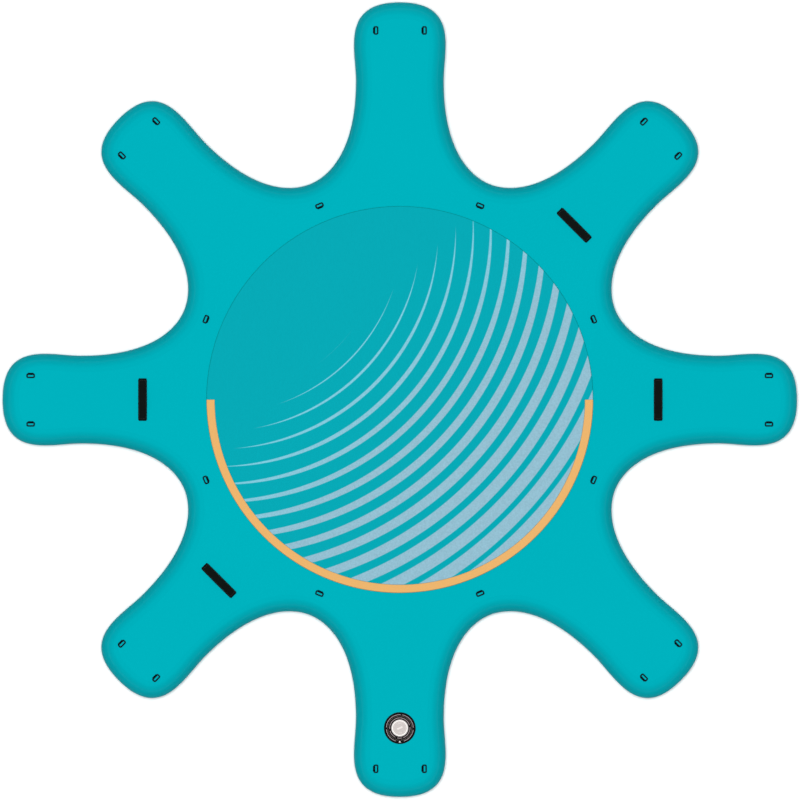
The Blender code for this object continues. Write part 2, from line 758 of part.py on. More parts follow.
def make_cap():
    """The cap: a dished disc, a groove for its gasket, and a skirt with two bayonet lugs."""
    high = CAP_BASE + CAP_THICKNESS
    groove_top = GASKET_TOP + GAP
    groove_outer = GASKET_RADIUS + GASKET_WIDTH / 2 + GAP
    groove_inner = GASKET_RADIUS - GASKET_WIDTH / 2 - GAP
    edge = CAP_THICKNESS * HARD_EDGE
    rim_radius = CAP_RADIUS - CAP_RIM
    profile = (
        (0, high - CAP_DISH),
        (rim_radius - CAP_DISH, high - CAP_DISH),
        (rim_radius, high),
        (CAP_RADIUS - edge, high),
        (CAP_RADIUS, high - edge),
        (CAP_RADIUS, CAP_BASE),
        (groove_outer, CAP_BASE),
        (groove_outer, groove_top),
        (groove_inner, groove_top),
        (groove_inner, CAP_BASE),
        (SKIRT_RADIUS, CAP_BASE),
        (SKIRT_RADIUS, -SKIRT_DEPTH),
        (SKIRT_INNER_RADIUS, -SKIRT_DEPTH),
        (SKIRT_INNER_RADIUS, CAP_BASE),
        (0, CAP_BASE),
    )
    place = valve_place()
    cap = turned("valve_cap", profile, TURN_STEPS, place)
    lug_root = SKIRT_RADIUS - SKIRT_THICKNESS / 2
    for i in range(BAYONET_COUNT):
        middle = math.tau * i / BAYONET_COUNT
        ends = (middle - BAYONET_HALF_ANGLE, middle + BAYONET_HALF_ANGLE)
        outline = sector(lug_root, SKIRT_RADIUS + BAYONET_REACH, *ends, BAYONET_LUG_STEPS)
        combine(cap, prism(f"cap_lug_{i}", [outline], BAYONET_BASE, BAYONET_TOP, place), "UNION")
    flutes = []
    for i in range(FLUTE_COUNT):
        centre = polar(CAP_RADIUS + FLUTE_RADIUS / 2, math.tau * (i + 0.5) / FLUTE_COUNT)
        flutes.append(circle(FLUTE_RADIUS, FLUTE_STEPS, centre))
    combine(cap, prism("cap_flutes", flutes, CAP_BASE - GAP, high + GAP, place), "DIFFERENCE")
    add_part(cap, WARM_GREY, PLASTIC_ROUGHNESS)


def make_gasket():
    inner = GASKET_RADIUS - GASKET_WIDTH / 2
    outer = GASKET_RADIUS + GASKET_WIDTH / 2
    edge = GASKET_THICKNESS * SOFT_EDGE
    profile = (
        (outer - edge, GASKET_TOP),
        (outer, GASKET_TOP - edge),
        (outer, GASKET_BASE + edge),
        (outer - edge, GASKET_BASE),
        (inner + edge, GASKET_BASE),
        (inner, GASKET_BASE + edge),
        (inner, GASKET_TOP - edge),
        (inner + edge, GASKET_TOP),
    )
    gasket = turned("cap_gasket", profile, TURN_STEPS, valve_place(), closed=True)
    add_part(gasket, BLACK, RUBBER_ROUGHNESS)


def main():
    clear_scene()
    make_core()
    make_skins()
    make_side_wall()
    make_deck_pad()
    make_rings()
    make_handles()
    make_valve_patch()
    make_valve_body()
    make_valve_nut()
    make_stem()
    make_seal()
    make_spring()
    make_cap()
    make_gasket()


main()
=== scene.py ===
"""The looks of an inflatable yoga platform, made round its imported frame. Metres, +Z up."""

import json
import math

import bmesh
import bpy
from mathutils import Matrix, Vector
from mathutils.geometry import interpolate_bezier


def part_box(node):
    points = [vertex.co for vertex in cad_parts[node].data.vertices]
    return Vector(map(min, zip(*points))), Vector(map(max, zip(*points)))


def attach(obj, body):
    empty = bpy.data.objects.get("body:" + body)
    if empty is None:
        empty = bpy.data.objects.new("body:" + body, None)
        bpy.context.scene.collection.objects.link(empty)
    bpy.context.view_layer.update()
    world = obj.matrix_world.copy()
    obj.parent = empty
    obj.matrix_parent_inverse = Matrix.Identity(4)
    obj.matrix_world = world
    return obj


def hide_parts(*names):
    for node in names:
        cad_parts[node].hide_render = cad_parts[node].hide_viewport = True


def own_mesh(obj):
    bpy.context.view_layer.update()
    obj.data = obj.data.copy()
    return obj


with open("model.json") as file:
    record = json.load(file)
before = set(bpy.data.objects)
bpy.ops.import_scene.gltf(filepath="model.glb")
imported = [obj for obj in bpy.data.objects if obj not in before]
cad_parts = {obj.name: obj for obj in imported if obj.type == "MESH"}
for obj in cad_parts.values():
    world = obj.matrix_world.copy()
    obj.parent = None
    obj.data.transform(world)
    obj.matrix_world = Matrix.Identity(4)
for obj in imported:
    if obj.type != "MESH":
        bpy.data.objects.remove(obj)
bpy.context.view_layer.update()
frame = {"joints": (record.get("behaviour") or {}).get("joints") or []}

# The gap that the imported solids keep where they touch
GAP = 0.0003

# A quarter turn
QUARTER = math.radians(90)

# Points this close become one, and edges that bend more than these angles stay sharp
WELD = 1e-6
SHARP_TURNED = math.radians(35)
SHARP_SWEPT = math.radians(50)
SHARP_PADDED = math.radians(60)
SHARP_CUT = math.radians(30)
SHARP_CAP = math.radians(40)

# The star's outline
ARM_COUNT = 8
TIP_HANDLE = 0.219
WAIST_SETBACK = 0.287
WAIST_HALF_WIDTH = 0.160
WAIST_HANDLE_OUT = 0.113
WAIST_HANDLE_IN = 0.272
BAY_SETBACK = 0.598
BAY_HANDLE = 0.0605
BAY_STEPS = 44
TIP_STEPS = 40

# The rail and the skins
RAIL_REACH = 0.048
RAIL_STEPS = 28
LINING_STEPS = 10
SKIN_THICKNESS = 0.0012
SKIN_INSET = 0.0015
TAPE_THICKNESS = 0.0002
TAPE_EDGE = 0.0001
TAPE_ON_SKIN = 0.012
TAPE_ON_RAIL = math.radians(34)
TAPE_STEPS = 8
POCKET_RADIUS = 0.033
POCKET_DEPTH = 0.0443

# The deck pad and its border
BORDER_WIDTH = 0.030
PAD_EDGE = 0.0016
PAD_EDGE_STEPS = 5
PAD_SUPPORT = 0.004
PAD_STEPS = 128

# The tie-down rings and their webbing loops
WIRE_RADIUS = 0.002
WIRE_SIDES = 16
WIRE_FLATNESS = 1.32
RING_LENGTH = 0.030
RING_DEPTH = 0.013
RING_CORNER = 0.0035
RING_CORNER_STEPS = 8
LOOP_WIDTH = 0.020
LOOP_THICKNESS = 0.0014
LOOP_CLEARANCE = 0.0007
LOOP_STEPS = 16
LOOP_ROUNDING = 0.0005

# The carry handles
HANDLE_HEADINGS = {"e": 0, "ne": 45, "w": 180, "sw": 225}
HANDLE_LENGTH = 0.155
HANDLE_RISE = 0.013
HANDLE_STEPS = 40
GRIP_WIDTH = 0.032
GRIP_THICKNESS = 0.009
GRIP_CROWN = 0.0008
GRIP_SEAM_SETBACK = 0.0035
GRIP_SEAM_DEPTH = 0.0007
GRIP_SEAM_WIDTH = 0.0011
GRIP_STEPS = 120
GRIP_SIDE_STEPS = 40
GRIP_HEM_DEPTH = 0.10
GRIP_HEM_STEPS = 200
STRAP_WIDTH = 0.028
STRAP_THICKNESS = 0.002
STRAP_FOOT = 0.026
STRAP_FOLD_STEPS = 10
STRAP_ROUNDING = 0.0007
STITCH_LENGTH = 0.0026
STITCH_PITCH = 0.0038
STITCH_RADIUS = 0.00035
STITCH_RISE = 1.4 * STITCH_RADIUS
STITCH_STEPS = 6
STITCH_SIDES = 6
END_STITCH_LEVEL = 0.92
HANDLE_FOOT = GAP + STRAP_THICKNESS / 2
HANDLE_END = 2 * GAP + STRAP_THICKNESS + GRIP_THICKNESS / 2
FOLD_RADIUS = (HANDLE_END - HANDLE_FOOT) / 2
GRIP_HALF_LENGTH = HANDLE_LENGTH / 2 - FOLD_RADIUS - STRAP_THICKNESS / 2

# The valve, its heights from the deck
PATCH_RADIUS = 0.058
PATCH_HOLE_RADIUS = 0.027
PATCH_THICKNESS = 0.001
PATCH_EDGE = 0.0004
PATCH_STEPS = 240
MARK_HEIGHT = 0.0002
MARK_WIDTH = 0.0017
OUTER_MARK_RADIUS = 0.0492
INNER_MARK_RADIUS = 0.0370
TICK_COUNT = 72
TICKS_IN_GROUP = 6
TICK_RADIUS = 0.0440
TICK_LENGTH = 0.0042
TICK_WIDTH = 0.0011
POINTER_RADIUS = 0.0495
POINTER_LENGTH = 0.0055
POINTER_WIDTH = 0.0085
FLANGE_RADIUS = 0.0315
FLANGE_THICKNESS = 0.004
FLANGE_EDGE = 0.0012
BODY_RADIUS = 0.0228
BORE_RADIUS = 0.020
BODY_DEPTH = 0.031
SEAT_RADIUS = 0.014
SEAT_THICKNESS = 0.003
BORE_EDGE = 0.0004
HUB_RADIUS = 0.0075
HUB_TOP = -0.017
HUB_THICKNESS = 0.003
SPOKE_COUNT = 3
SPOKE_WIDTH = 0.003
STEM_RADIUS = 0.0027
STEM_CLEARANCE = 0.0003
LUG_REACH = 0.0042
LUG_WIDTH = 0.0018
LUG_HEIGHT = 0.0020
KNOB_RADIUS = 0.0062
KNOB_THICKNESS = 0.003
KNOB_DEPTH = 0.001
KNOB_CROWN = 0.0007
KNOB_EDGE = 0.0003
KNOB_STEPS = 10
SEAL_LAP = 0.003
SEAL_THICKNESS = 0.0022
SEAL_EDGE = 0.0005
PLATE_MARGIN = 0.002
PLATE_THICKNESS = 0.0015
SPRING_RADIUS = 0.0050
SPRING_WIRE_RADIUS = 0.00045
SPRING_TURNS = 4
SPRING_TURN_POINTS = 36
SPRING_SIDES = 10
CAP_RADIUS = 0.029
CAP_THICKNESS = 0.0035
CAP_RIM = 0.004
CAP_DISH = 0.0008
CAP_EDGE = 0.0009
CAP_SMALL_EDGE = CAP_EDGE / 3
CAP_TURN_STEPS = 360
RELIEF_HEIGHT = 0.0007
RELIEF_BEVEL = 0.0003
RELIEF_RING_RADIUS = 0.0212
RELIEF_RING_WIDTH = 0.0014
BAR_HEADING = math.radians(25)
BAR_LENGTH = 0.023
BAR_WIDTH = 0.0072
ARROW_RADIUS = 0.0168
ARROW_STARTS = (math.radians(62), math.radians(242))
ARROW_SPAN = math.radians(62)
ARROW_HEAD = math.radians(14)
ARROW_HEAD_WIDTH = 0.0046
ARROW_LINE = 0.0018
ARROW_STEPS = 24
SKIRT_RADIUS = 0.0195
SKIRT_THICKNESS = 0.0022
SKIRT_DEPTH = 0.006
BAYONET_HALF_ANGLE = math.radians(10)
BAYONET_PLAY_ANGLE = math.radians(3)
BAYONET_TURN = math.radians(90)
BAYONET_REACH = 0.0018
BAYONET_HEIGHT = 0.0022
BAYONET_PLAY = 0.0006
BAYONET_STEPS = 8
BAYONET_RUN_STEPS = 32
BAYONET_HEADINGS = (0, math.pi)
FLUTE_COUNT = 16
FLUTE_DEPTH = 0.0009
FLUTE_HALF_ANGLE = math.radians(3.6)
GASKET_RADIUS = 0.0245
GASKET_WIDTH = 0.0024
GASKET_THICKNESS = 0.0015
GASKET_PROUD = 0.0005
TURN_STEPS = 128
SMALL_TURN_STEPS = 64

# The arcs of the patch's ring marks, from degree to degree, and the degrees of a step along them
OUTER_MARK_ARCS = ((2, 79), (87, 177), (186, 253), (287, 352))
INNER_MARK_ARCS = ((17, 184), (196, 244), (256, 284), (290, 365))
MARK_STEP = 2

# The camera and the light
VIEW_CENTRE = (0.0007, -0.0015)
VIEW_WIDTH = 2.92
VIEW_HEIGHT = 6.0
KEY_TILT = math.radians(1)
KEY_HEADING = math.radians(135)
KEY_STRENGTH = 3.40
KEY_SPREAD = math.radians(14)
SIDE_TILT = math.radians(40)
SIDE_STRENGTH = 0.15
SIDE_SPREAD = math.radians(12)
SKY_STRENGTH = 0.13
HORIZON_STRENGTH = 1.0
HORIZON_HEIGHTS = (0.02, 0.10)
LIGHT_ON_DECK = 1.27
FLOOR_SIZE = 90.0
FLOOR_HEIGHT = -0.0004

# Where the frame puts things
_, RAIL_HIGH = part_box("side_wall")
TIP_RADIUS = RAIL_HIGH.x
DECK = RAIL_HIGH.z
HALF_THICKNESS = DECK / 2
BAY_RADIUS = TIP_RADIUS - BAY_SETBACK
ARM_PITCH = math.tau / ARM_COUNT
PAD_LOW, PAD_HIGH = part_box("deck_pad")
PAD_RADIUS = PAD_HIGH.x
VALVE = next(Vector(joint["pos_m"]) for joint in frame["joints"] if joint["name"] == "cap_turn")
BODY_BASE = 2 * GAP + PATCH_THICKNESS
BODY_TOP = BODY_BASE + FLANGE_THICKNESS
CAP_BASE = BODY_TOP + GAP + GASKET_PROUD
CAP_TOP = CAP_BASE + CAP_THICKNESS
BAYONET_BASE = BAYONET_PLAY - SKIRT_DEPTH
BAYONET_TOP = BAYONET_BASE + BAYONET_HEIGHT
WEAVE_MAP = "cloth"
HULL = "hull"


def polar(radius, angle):
    return Vector((radius * math.cos(angle), radius * math.sin(angle), 0))


def arc(radius, start, end, steps):
    return [polar(radius, start + (end - start) * i / steps) for i in range(steps + 1)]


def around(middle, width):
    """The (low, high) ends of a width about its middle."""
    return middle - width / 2, middle + width / 2


def smooth_step(value, low, high):
    """0 below low, 1 above high, and an even S between them."""
    share = min(max((value - low) / (high - low), 0.0), 1.0)
    return share * share * (3 - 2 * share)


def paint(red, green, blue):
    """The base colour that shows as this sRGB value, 0 to 255, in the light that falls on the deck."""
    linear = []
    for channel in (red, green, blue):
        level = channel / 255
        linear.append(level / 12.92 if level <= 0.04045 else ((level + 0.055) / 1.055) ** 2.4)
    return tuple(level / LIGHT_ON_DECK for level in linear)


# Colours, as screen values, from the photo where it shows them
HULL_TEAL = paint(0, 175, 187)
# The seam tape and the rail are a little darker than the deck's teal: painted shade for the light falling off
# round the rail
TAPE_TEAL_SHADED = paint(0, 172, 184)
RAIL_TEAL_SHADED = paint(0, 172, 184)
PAD_TEAL = paint(0, 171, 184)
# Painted shade: the dark line along the foam's edge, on the teal pad
PAD_RIM_SHADE_COLOUR = paint(4, 138, 138)
INK_THIN = paint(120, 212, 232)
INK_BROAD = paint(149, 193, 211)
ORANGE = paint(239, 183, 111)
# Painted shade: the dark line along the foam's edge, on the orange border
ORANGE_RIM_SHADE = paint(120, 118, 78)
WEBBING_BLACK = paint(2, 10, 18)
GRIP_BLACK = paint(9, 16, 14)
THREAD_GREY = paint(60, 62, 58)
WIRE_BLACK = paint(0, 5, 20)
WIRE_RUBBED = paint(40, 48, 56)
RUBBER_BLACK = paint(9, 7, 10)
MARK_GREY = paint(178, 160, 164)
TICK_GREY = paint(100, 90, 82)
CAP_WHITE = paint(248, 242, 239)
DISH_LIGHT = paint(222, 213, 210)
DISH_GREY = paint(184, 175, 172)
# The valve's body and stem are greyed all over: painted shade for the cap's shadow on the flange round the
# cap
VALVE_GREY_SHADED = paint(162, 156, 153)
NUT_WHITE = paint(236, 234, 230)
CORE_WHITE = paint(242, 241, 235)

# Linear colours of the spring, the floor and the sky
STEEL = (0.56, 0.56, 0.57)
FLOOR_WHITE = (0.88, 0.88, 0.88)
SKY_WHITE = (1.0, 1.0, 1.0)

# The gloss, the weaves and the prints
COAT_SPECULAR = 0.12
RAIL_SPECULAR = 0.006
COAT_TINT = (0.0, 0.90, 1.0)
FOAM_SPECULAR = 0.025
BLACK_SPECULAR = 0.05
CLOTH_SHEEN = 0.02
SCRIM_PITCH = 0.0016
DIMPLE_PITCH = 0.0085
# How wide the painted shade line along the foam's edge is, and how soft its inner side
PAD_RIM_SHADE_WIDTH = 0.002
PAD_RIM_SHADE_FADE = PAD_RIM_SHADE_WIDTH / 3
RIPPLE_CENTRE = (-0.66, 0.62)
RIPPLE_AIM = (0.7071, -0.7071)
RIPPLE_PITCH = 0.064
RIPPLE_FIRST = 0.60
RIPPLE_LAST = 1.50
RIPPLE_GROWTH = 0.8
RIPPLE_WIDEST = 0.70
RIPPLE_SOFTNESS = 0.03
INK_BROAD_FROM = 0.5
RUBBED_RANGE = (0.64, 0.72)
NOISE_RANGE = (0.3, 0.7)


# Outlines

def offset_line(points, distance, closed=True):
    """The line moved to its left by an even distance."""
    last = len(points) - 1
    moved = []
    for i, point in enumerate(points):
        before = point - points[i - 1] if closed or i > 0 else points[1] - points[0]
        after = points[(i + 1) % len(points)] - point if closed or i < last else before
        left_before = Vector((-before.y, before.x, 0)).normalized()
        left_after = Vector((-after.y, after.x, 0)).normalized()
        across = (left_before + left_after).normalized()
        moved.append(point + across * (distance / across.dot(left_before)))
    return moved


def half_arm():
    """Half of an arm's outline, in the arm's own axes, from the middle of the bay to the tip."""
    bay_angle = ARM_PITCH / 2
    bay = polar(BAY_RADIUS, bay_angle)
    bay_handle = bay + polar(BAY_HANDLE, bay_angle - QUARTER)
    waist = Vector((TIP_RADIUS - WAIST_SETBACK, WAIST_HALF_WIDTH, 0))
    handle_in = waist - Vector((WAIST_HANDLE_IN, 0, 0))
    handle_out = waist + Vector((WAIST_HANDLE_OUT, 0, 0))
    tip = Vector((TIP_RADIUS, 0, 0))
    tip_handle = tip + Vector((0, TIP_HANDLE, 0))
    inner = interpolate_bezier(bay, bay_handle, handle_in, waist, BAY_STEPS + 1)
    outer = interpolate_bezier(waist, handle_out, tip_handle, tip, TIP_STEPS + 1)
    return inner[:-1] + outer


def star_outline():
    """The star's outline, counterclockwise."""
    half = half_arm()
    arm = [Vector((point.x, -point.y, 0)) for point in half] + half[-2:0:-1]
    star = []
    for number in range(ARM_COUNT):
        turn = Matrix.Rotation(number * ARM_PITCH, 3, "Z")
        star += [turn @ point for point in arm]
    return star


STAR = star_outline()


def at_height(points, height):
    return [Vector((point.x, point.y, height)) for point in points]


def upright(points):
    """Points of the plan, stood up in X and Z."""
    return [Vector((point.x, 0, point.y)) for point in points]


def star_row(inset, height):
    return at_height(offset_line(STAR, inset), height)


def rail_point(angle, lining=0.0):
    """(inset, height) on the rail at an angle above its widest line, this far inside the outer face."""
    inset = RAIL_REACH - (RAIL_REACH - lining) * math.cos(angle)
    height = HALF_THICKNESS + (HALF_THICKNESS - lining) * math.sin(angle)
    return inset, height


def rail_rows(lining, steps):
    """Rows round the star from the rail's upper lip to its lower one, this far inside the outer face."""
    points = [rail_point(QUARTER - math.pi * i / steps, lining) for i in range(steps + 1)]
    return [star_row(inset, height) for inset, height in points]


# Meshes

def clean(mesh, sharp):
    """Welds what coincides, drops loose edges, turns the faces outwards and shades the round parts smooth."""
    body = bmesh.new()
    body.from_mesh(mesh)
    bmesh.ops.remove_doubles(body, verts=body.verts, dist=WELD)
    bmesh.ops.dissolve_degenerate(body, edges=body.edges, dist=WELD)
    loose = [edge for edge in body.edges if not edge.link_faces]
    bmesh.ops.delete(body, geom=loose, context="EDGES")
    bmesh.ops.recalc_face_normals(body, faces=body.faces)
    body.to_mesh(mesh)
    body.free()
    mesh.shade_smooth()
    mesh.set_sharp_from_angle(angle=sharp)
    return mesh


def running_lengths(points, closed):
    lengths = [0.0]
    for i in range(1, len(points) + (1 if closed else 0)):
        lengths.append(lengths[-1] + (points[i % len(points)] - points[i - 1]).length)
    return lengths


def grid_mesh(rows, sharp=SHARP_SWEPT, wrap_points=True, wrap_rows=False, caps=False):
    """Quads over rows of points, with a map in metres for the weave: along a row, and from row to row."""
    count = len(rows[0])
    along = running_lengths(rows[0], wrap_points)
    down = running_lengths([row[0] for row in rows], wrap_rows)
    faces = []
    places = []
    for j in range(len(down) - 1):
        row = j * count
        below = (j + 1) % len(rows) * count
        for i in range(len(along) - 1):
            beside = (i + 1) % count
            faces.append((row + i, row + beside, below + beside, below + i))
            places += [(along[i], down[j]), (along[i + 1], down[j])]
            places += [(along[i + 1], down[j + 1]), (along[i], down[j + 1])]
    if caps:
        last = (len(rows) - 1) * count
        faces.append(tuple(range(count - 1, -1, -1)))
        faces.append(tuple(range(last, last + count)))
        places += [(along[i], 0.0) for i in range(count)] * 2
    mesh = bpy.data.meshes.new("grid")
    mesh.from_pydata([point for row in rows for point in row], [], faces)
    layer = mesh.uv_layers.new(name=WEAVE_MAP)
    layer.uv.foreach_set("vector", [number for place in places for number in place])
    return clean(mesh, sharp)


def new_object(name, data, place=Vector(), heading=0.0):
    obj = bpy.data.objects.new(name, data)
    bpy.context.scene.collection.objects.link(obj)
    obj.location = place
    obj.rotation_euler.z = heading
    return obj


def final_mesh(obj):
    """The mesh that an object with its modifiers comes to. The object is removed."""
    bpy.context.view_layer.update()
    mesh = bpy.data.meshes.new_from_object(obj.evaluated_get(bpy.context.evaluated_depsgraph_get()))
    bpy.data.objects.remove(obj)
    return mesh


def turned(profile, steps, closed=True):
    """A round body from a profile of (radius, height) pairs, closed on itself or on its axis."""
    rows = []
    for i in range(steps):
        turn = Matrix.Rotation(math.tau * i / steps, 3, "Z")
        rows.append([turn @ Vector((radius, 0, height)) for radius, height in profile])
    return grid_mesh(rows, SHARP_TURNED, wrap_points=closed, wrap_rows=True)


def rod(radius, heights, rounding=0):
    """A round rod on the axis."""
    low, high = heights
    corners = ((0.0, high, 0), (radius, high, rounding), (radius, low, rounding), (0.0, low, 0))
    return turned(rounded(corners), SMALL_TURN_STEPS, closed=False)


def swept(frames, section, closed=False):
    """A body along a path: each frame is (point, first axis, second axis) for the section's pairs."""
    rows = [[point + a * first + b * second for a, b in section] for point, first, second in frames]
    return grid_mesh(rows, wrap_rows=closed, caps=not closed)


def side_frames(path):
    """Frames for a strip whose path lies in X and Z: first across it, then out of its upper face."""
    flat = [Vector((point.x, point.z, 0)) for point in path]
    lifted = offset_line(flat, 1.0, closed=False)
    frames = []
    for point, start, end in zip(path, flat, lifted):
        out = end - start
        frames.append((point, Vector((0, 1, 0)), Vector((out.x, 0, out.y))))
    return frames


def round_section(radius, sides):
    angles = [math.tau * i / sides for i in range(sides)]
    return [(radius * math.cos(angle), radius * math.sin(angle)) for angle in angles]


def rounded_section(width, thickness, rounding, steps=3):
    """A rectangle with round corners, as (across, out) pairs."""
    x = width / 2 - rounding
    y = thickness / 2 - rounding
    section = []
    for centre_x, centre_y, start in ((x, y, 0), (-x, y, 90), (-x, -y, 180), (x, -y, 270)):
        for i in range(steps + 1):
            corner = polar(rounding, math.radians(start + 90 * i / steps))
            section.append((centre_x + corner.x, centre_y + corner.y))
    return section


def ring(radii, heights, rounding, steps):
    """A flat ring with round corners: its radii and heights are (low, high) pairs."""
    middle = sum(radii) / 2
    centre = sum(heights) / 2
    section = rounded_section(radii[1] - radii[0], heights[1] - heights[0], rounding, steps=4)
    return turned([(middle + x, centre + y) for x, y in section], steps)


def arc_block(radii, angles, heights, steps, rounding):
    """A piece of a ring: its radii, angles and heights are (low, high) pairs."""
    lift = Vector((0, 0, sum(heights) / 2))
    frames = []
    for point in arc(sum(radii) / 2, *angles, steps):
        frames.append((point + lift, point.normalized(), Vector((0, 0, 1))))
    return swept(frames, rounded_section(radii[1] - radii[0], heights[1] - heights[0], rounding, steps=2))


def rectangle(x_ends, y_ends, angle=0.0):
    """A rectangle's corners, counterclockwise, turned about the origin."""
    turn = Matrix.Rotation(angle, 3, "Z")
    corners = ((x_ends[0], y_ends[0]), (x_ends[1], y_ends[0]), (x_ends[1], y_ends[1]), (x_ends[0], y_ends[1]))
    return [turn @ Vector((x, y, 0)) for x, y in corners]


def prism(outline, heights, bevel=0.0):
    """A plate over a counterclockwise outline, with a bevel round its upper face."""
    low, high = heights
    rows = [at_height(outline, low), at_height(outline, high - bevel)]
    if bevel:
        rows.append(at_height(offset_line(outline, bevel), high))
    return grid_mesh(rows, SHARP_TURNED, caps=True)


def rounded(corners, steps=4):
    """A profile as (radius, height) pairs, from (radius, height, rounding) corners."""
    profile = []
    for i, (x, y, rounding) in enumerate(corners):
        corner = Vector((x, y, 0))
        if rounding == 0:
            profile.append((x, y))
            continue
        before = (Vector((*corners[i - 1][:2], 0)) - corner).normalized()
        after = (Vector((*corners[(i + 1) % len(corners)][:2], 0)) - corner).normalized()
        half = before.angle(after) / 2
        centre = corner + (before + after).normalized() * (rounding / math.sin(half))
        start = corner + before * (rounding / math.tan(half)) - centre
        end = corner + after * (rounding / math.tan(half)) - centre
        for step in range(steps + 1):
            point = centre + start.slerp(end, step / steps) * rounding
            profile.append((point.x, point.y))
    return profile


def plate(loops, low, high):
    """A flat plate between two heights, mapped in plan; loops after the first are holes in it."""
    data = bpy.data.curves.new("plate_outline", "CURVE")
    data.dimensions = "2D"
    data.fill_mode = "BOTH"
    data.extrude = (high - low) / 2
    for loop in loops:
        spline = data.splines.new("POLY")
        spline.points.add(len(loop) - 1)
        for point, place in zip(spline.points, loop):
            point.co = (place.x, place.y, 0, 1)
        spline.use_cyclic_u = True
    mesh = final_mesh(new_object("plate_outline", data))
    mesh.transform(Matrix.Translation((0, 0, (low + high) / 2)))
    clean(mesh, SHARP_TURNED)
    layer = mesh.uv_layers.new(name=WEAVE_MAP)
    for loop in mesh.loops:
        layer.uv[loop.index].vector = mesh.vertices[loop.vertex_index].co.xy
    return mesh


def merged(meshes):
    """One mesh of several, each already in its place, with their weave maps."""
    whole = bmesh.new()
    for mesh in meshes:
        whole.from_mesh(mesh)
    result = bpy.data.meshes.new("merged")
    whole.to_mesh(result)
    whole.free()
    return result


def copies(mesh, matrices):
    """One mesh of several copies, each moved by its matrix."""
    moved = [mesh.copy() for _ in matrices]
    for copy, matrix in zip(moved, matrices):
        copy.transform(matrix)
    return merged(moved)


def cut(mesh, tool, operation="DIFFERENCE", place=Vector()):
    """The mesh cut by a tool, or joined with it."""
    whole = new_object("whole", mesh)
    other = new_object("tool", tool, place)
    modifier = whole.modifiers.new("cut", "BOOLEAN")
    modifier.operation = operation
    modifier.solver = "EXACT"
    modifier.object = other
    result = final_mesh(whole)
    bpy.data.objects.remove(other)
    return result


# Finishes

# Where a Mix node takes its two colours, and where it gives their mix
MIX_COLOURS = (6, 7)
MIX_RESULT = 2


class Nodes:
    """A node tree while it is made, with short calls for what the finishes and the sky use."""

    def __init__(self, tree):
        self.tree = tree

    def add(self, kind, inputs=(), **settings):
        """A node of this kind with its settings, and (socket, value or output) pairs for its inputs."""
        node = self.tree.nodes.new("ShaderNode" + kind)
        for name, value in settings.items():
            setattr(node, name, value)
        for socket, value in inputs:
            if isinstance(value, bpy.types.NodeSocket):
                self.tree.links.new(value, node.inputs[socket])
            else:
                node.inputs[socket].default_value = value
        return node

    def math(self, operation, *values):
        return self.add("Math", enumerate(values), operation=operation).outputs[0]

    def axes(self, place):
        parts = self.add("SeparateXYZ", [(0, place)])
        return parts.outputs[0], parts.outputs[1], parts.outputs[2]

    def span(self, value, ends, new_ends=(0.0, 1.0)):
        """value carried from one range to another, and held at its ends."""
        names = ("Value", "From Min", "From Max", "To Min", "To Max")
        return self.add("MapRange", zip(names, (value, *ends, *new_ends))).outputs["Result"]


class Finish(Nodes):
    """A material while it is made, with its shader, and its relief and roughness so far."""

    def __init__(self, name, roughness, specular=0.5, metallic=0.0):
        self.material = bpy.data.materials.new(name)
        self.material.use_nodes = True
        super().__init__(self.material.node_tree)
        self.shader = self.tree.nodes["Principled BSDF"]
        self.shader.inputs["Roughness"].default_value = roughness
        self.shader.inputs["Specular IOR Level"].default_value = specular
        self.shader.inputs["Metallic"].default_value = metallic
        self.place = self.add("TexCoord").outputs["Object"]
        self.normal = None
        self.roughness = None

    def length(self, x, y):
        return self.math("SQRT", self.math("ADD", self.math("MULTIPLY", x, x), self.math("MULTIPLY", y, y)))

    def radius(self):
        """The distance from the piece's own upright axis."""
        x, y, _ = self.axes(self.place)
        return self.length(x, y)

    def noise(self, scale, detail=2.0, stretch=None):
        place = self.place
        if stretch:
            place = self.add("VectorMath", [(0, place), (1, stretch)], operation="MULTIPLY").outputs[0]
        return self.add("TexNoise", [("Vector", place), ("Scale", scale), ("Detail", detail)]).outputs["Fac"]

    def grain(self, depth, scale, detail=2.0, stretch=None):
        """Noise that stands in the relief too."""
        pattern = self.noise(scale, detail, stretch)
        self.bump(pattern, depth)
        return pattern

    def wave(self, value, pitch):
        """A sine of this pitch, from -1 to 1."""
        return self.math("SINE", self.math("MULTIPLY", value, math.tau / pitch))

    def weave(self, pitch_across, pitch_along):
        """The height of a plain weave, from 0 to 1, on the map in metres."""
        across, along, _ = self.axes(self.add("UVMap", uv_map=WEAVE_MAP).outputs[0])
        product = self.math("MULTIPLY", self.wave(across, pitch_across), self.wave(along, pitch_along))
        return self.span(product, (-1.0, 1.0))

    def mix(self, factor, first, second):
        inputs = [(0, factor)]
        for socket, colour in zip(MIX_COLOURS, (first, second)):
            inputs.append((socket, colour if isinstance(colour, bpy.types.NodeSocket) else (*colour, 1.0)))
        return self.add("Mix", inputs, data_type="RGBA").outputs[MIX_RESULT]

    def shade(self, colour, factor, dark, light):
        """colour at dark times its strength where the factor is 0, and at light times where it is 1."""
        level = self.span(factor, (0.0, 1.0), (dark, light))
        return self.add("VectorMath", [(0, colour), ("Scale", level)], operation="SCALE").outputs[0]

    def bump(self, height, depth):
        inputs = [("Height", height), ("Distance", depth)]
        if self.normal:
            inputs.append(("Normal", self.normal))
        self.normal = self.add("Bump", inputs).outputs[0]

    def roughen(self, pattern, low, high, ends=NOISE_RANGE):
        """The roughness where the pattern is at its low end, and where it is at its high end."""
        self.roughness = self.span(pattern, ends, (low, high))

    def done(self, colour):
        outputs = {"Base Color": colour, "Roughness": self.roughness, "Normal": self.normal}
        for socket, output in outputs.items():
            if output:
                self.tree.links.new(output, self.shader.inputs[socket])
        return self.material


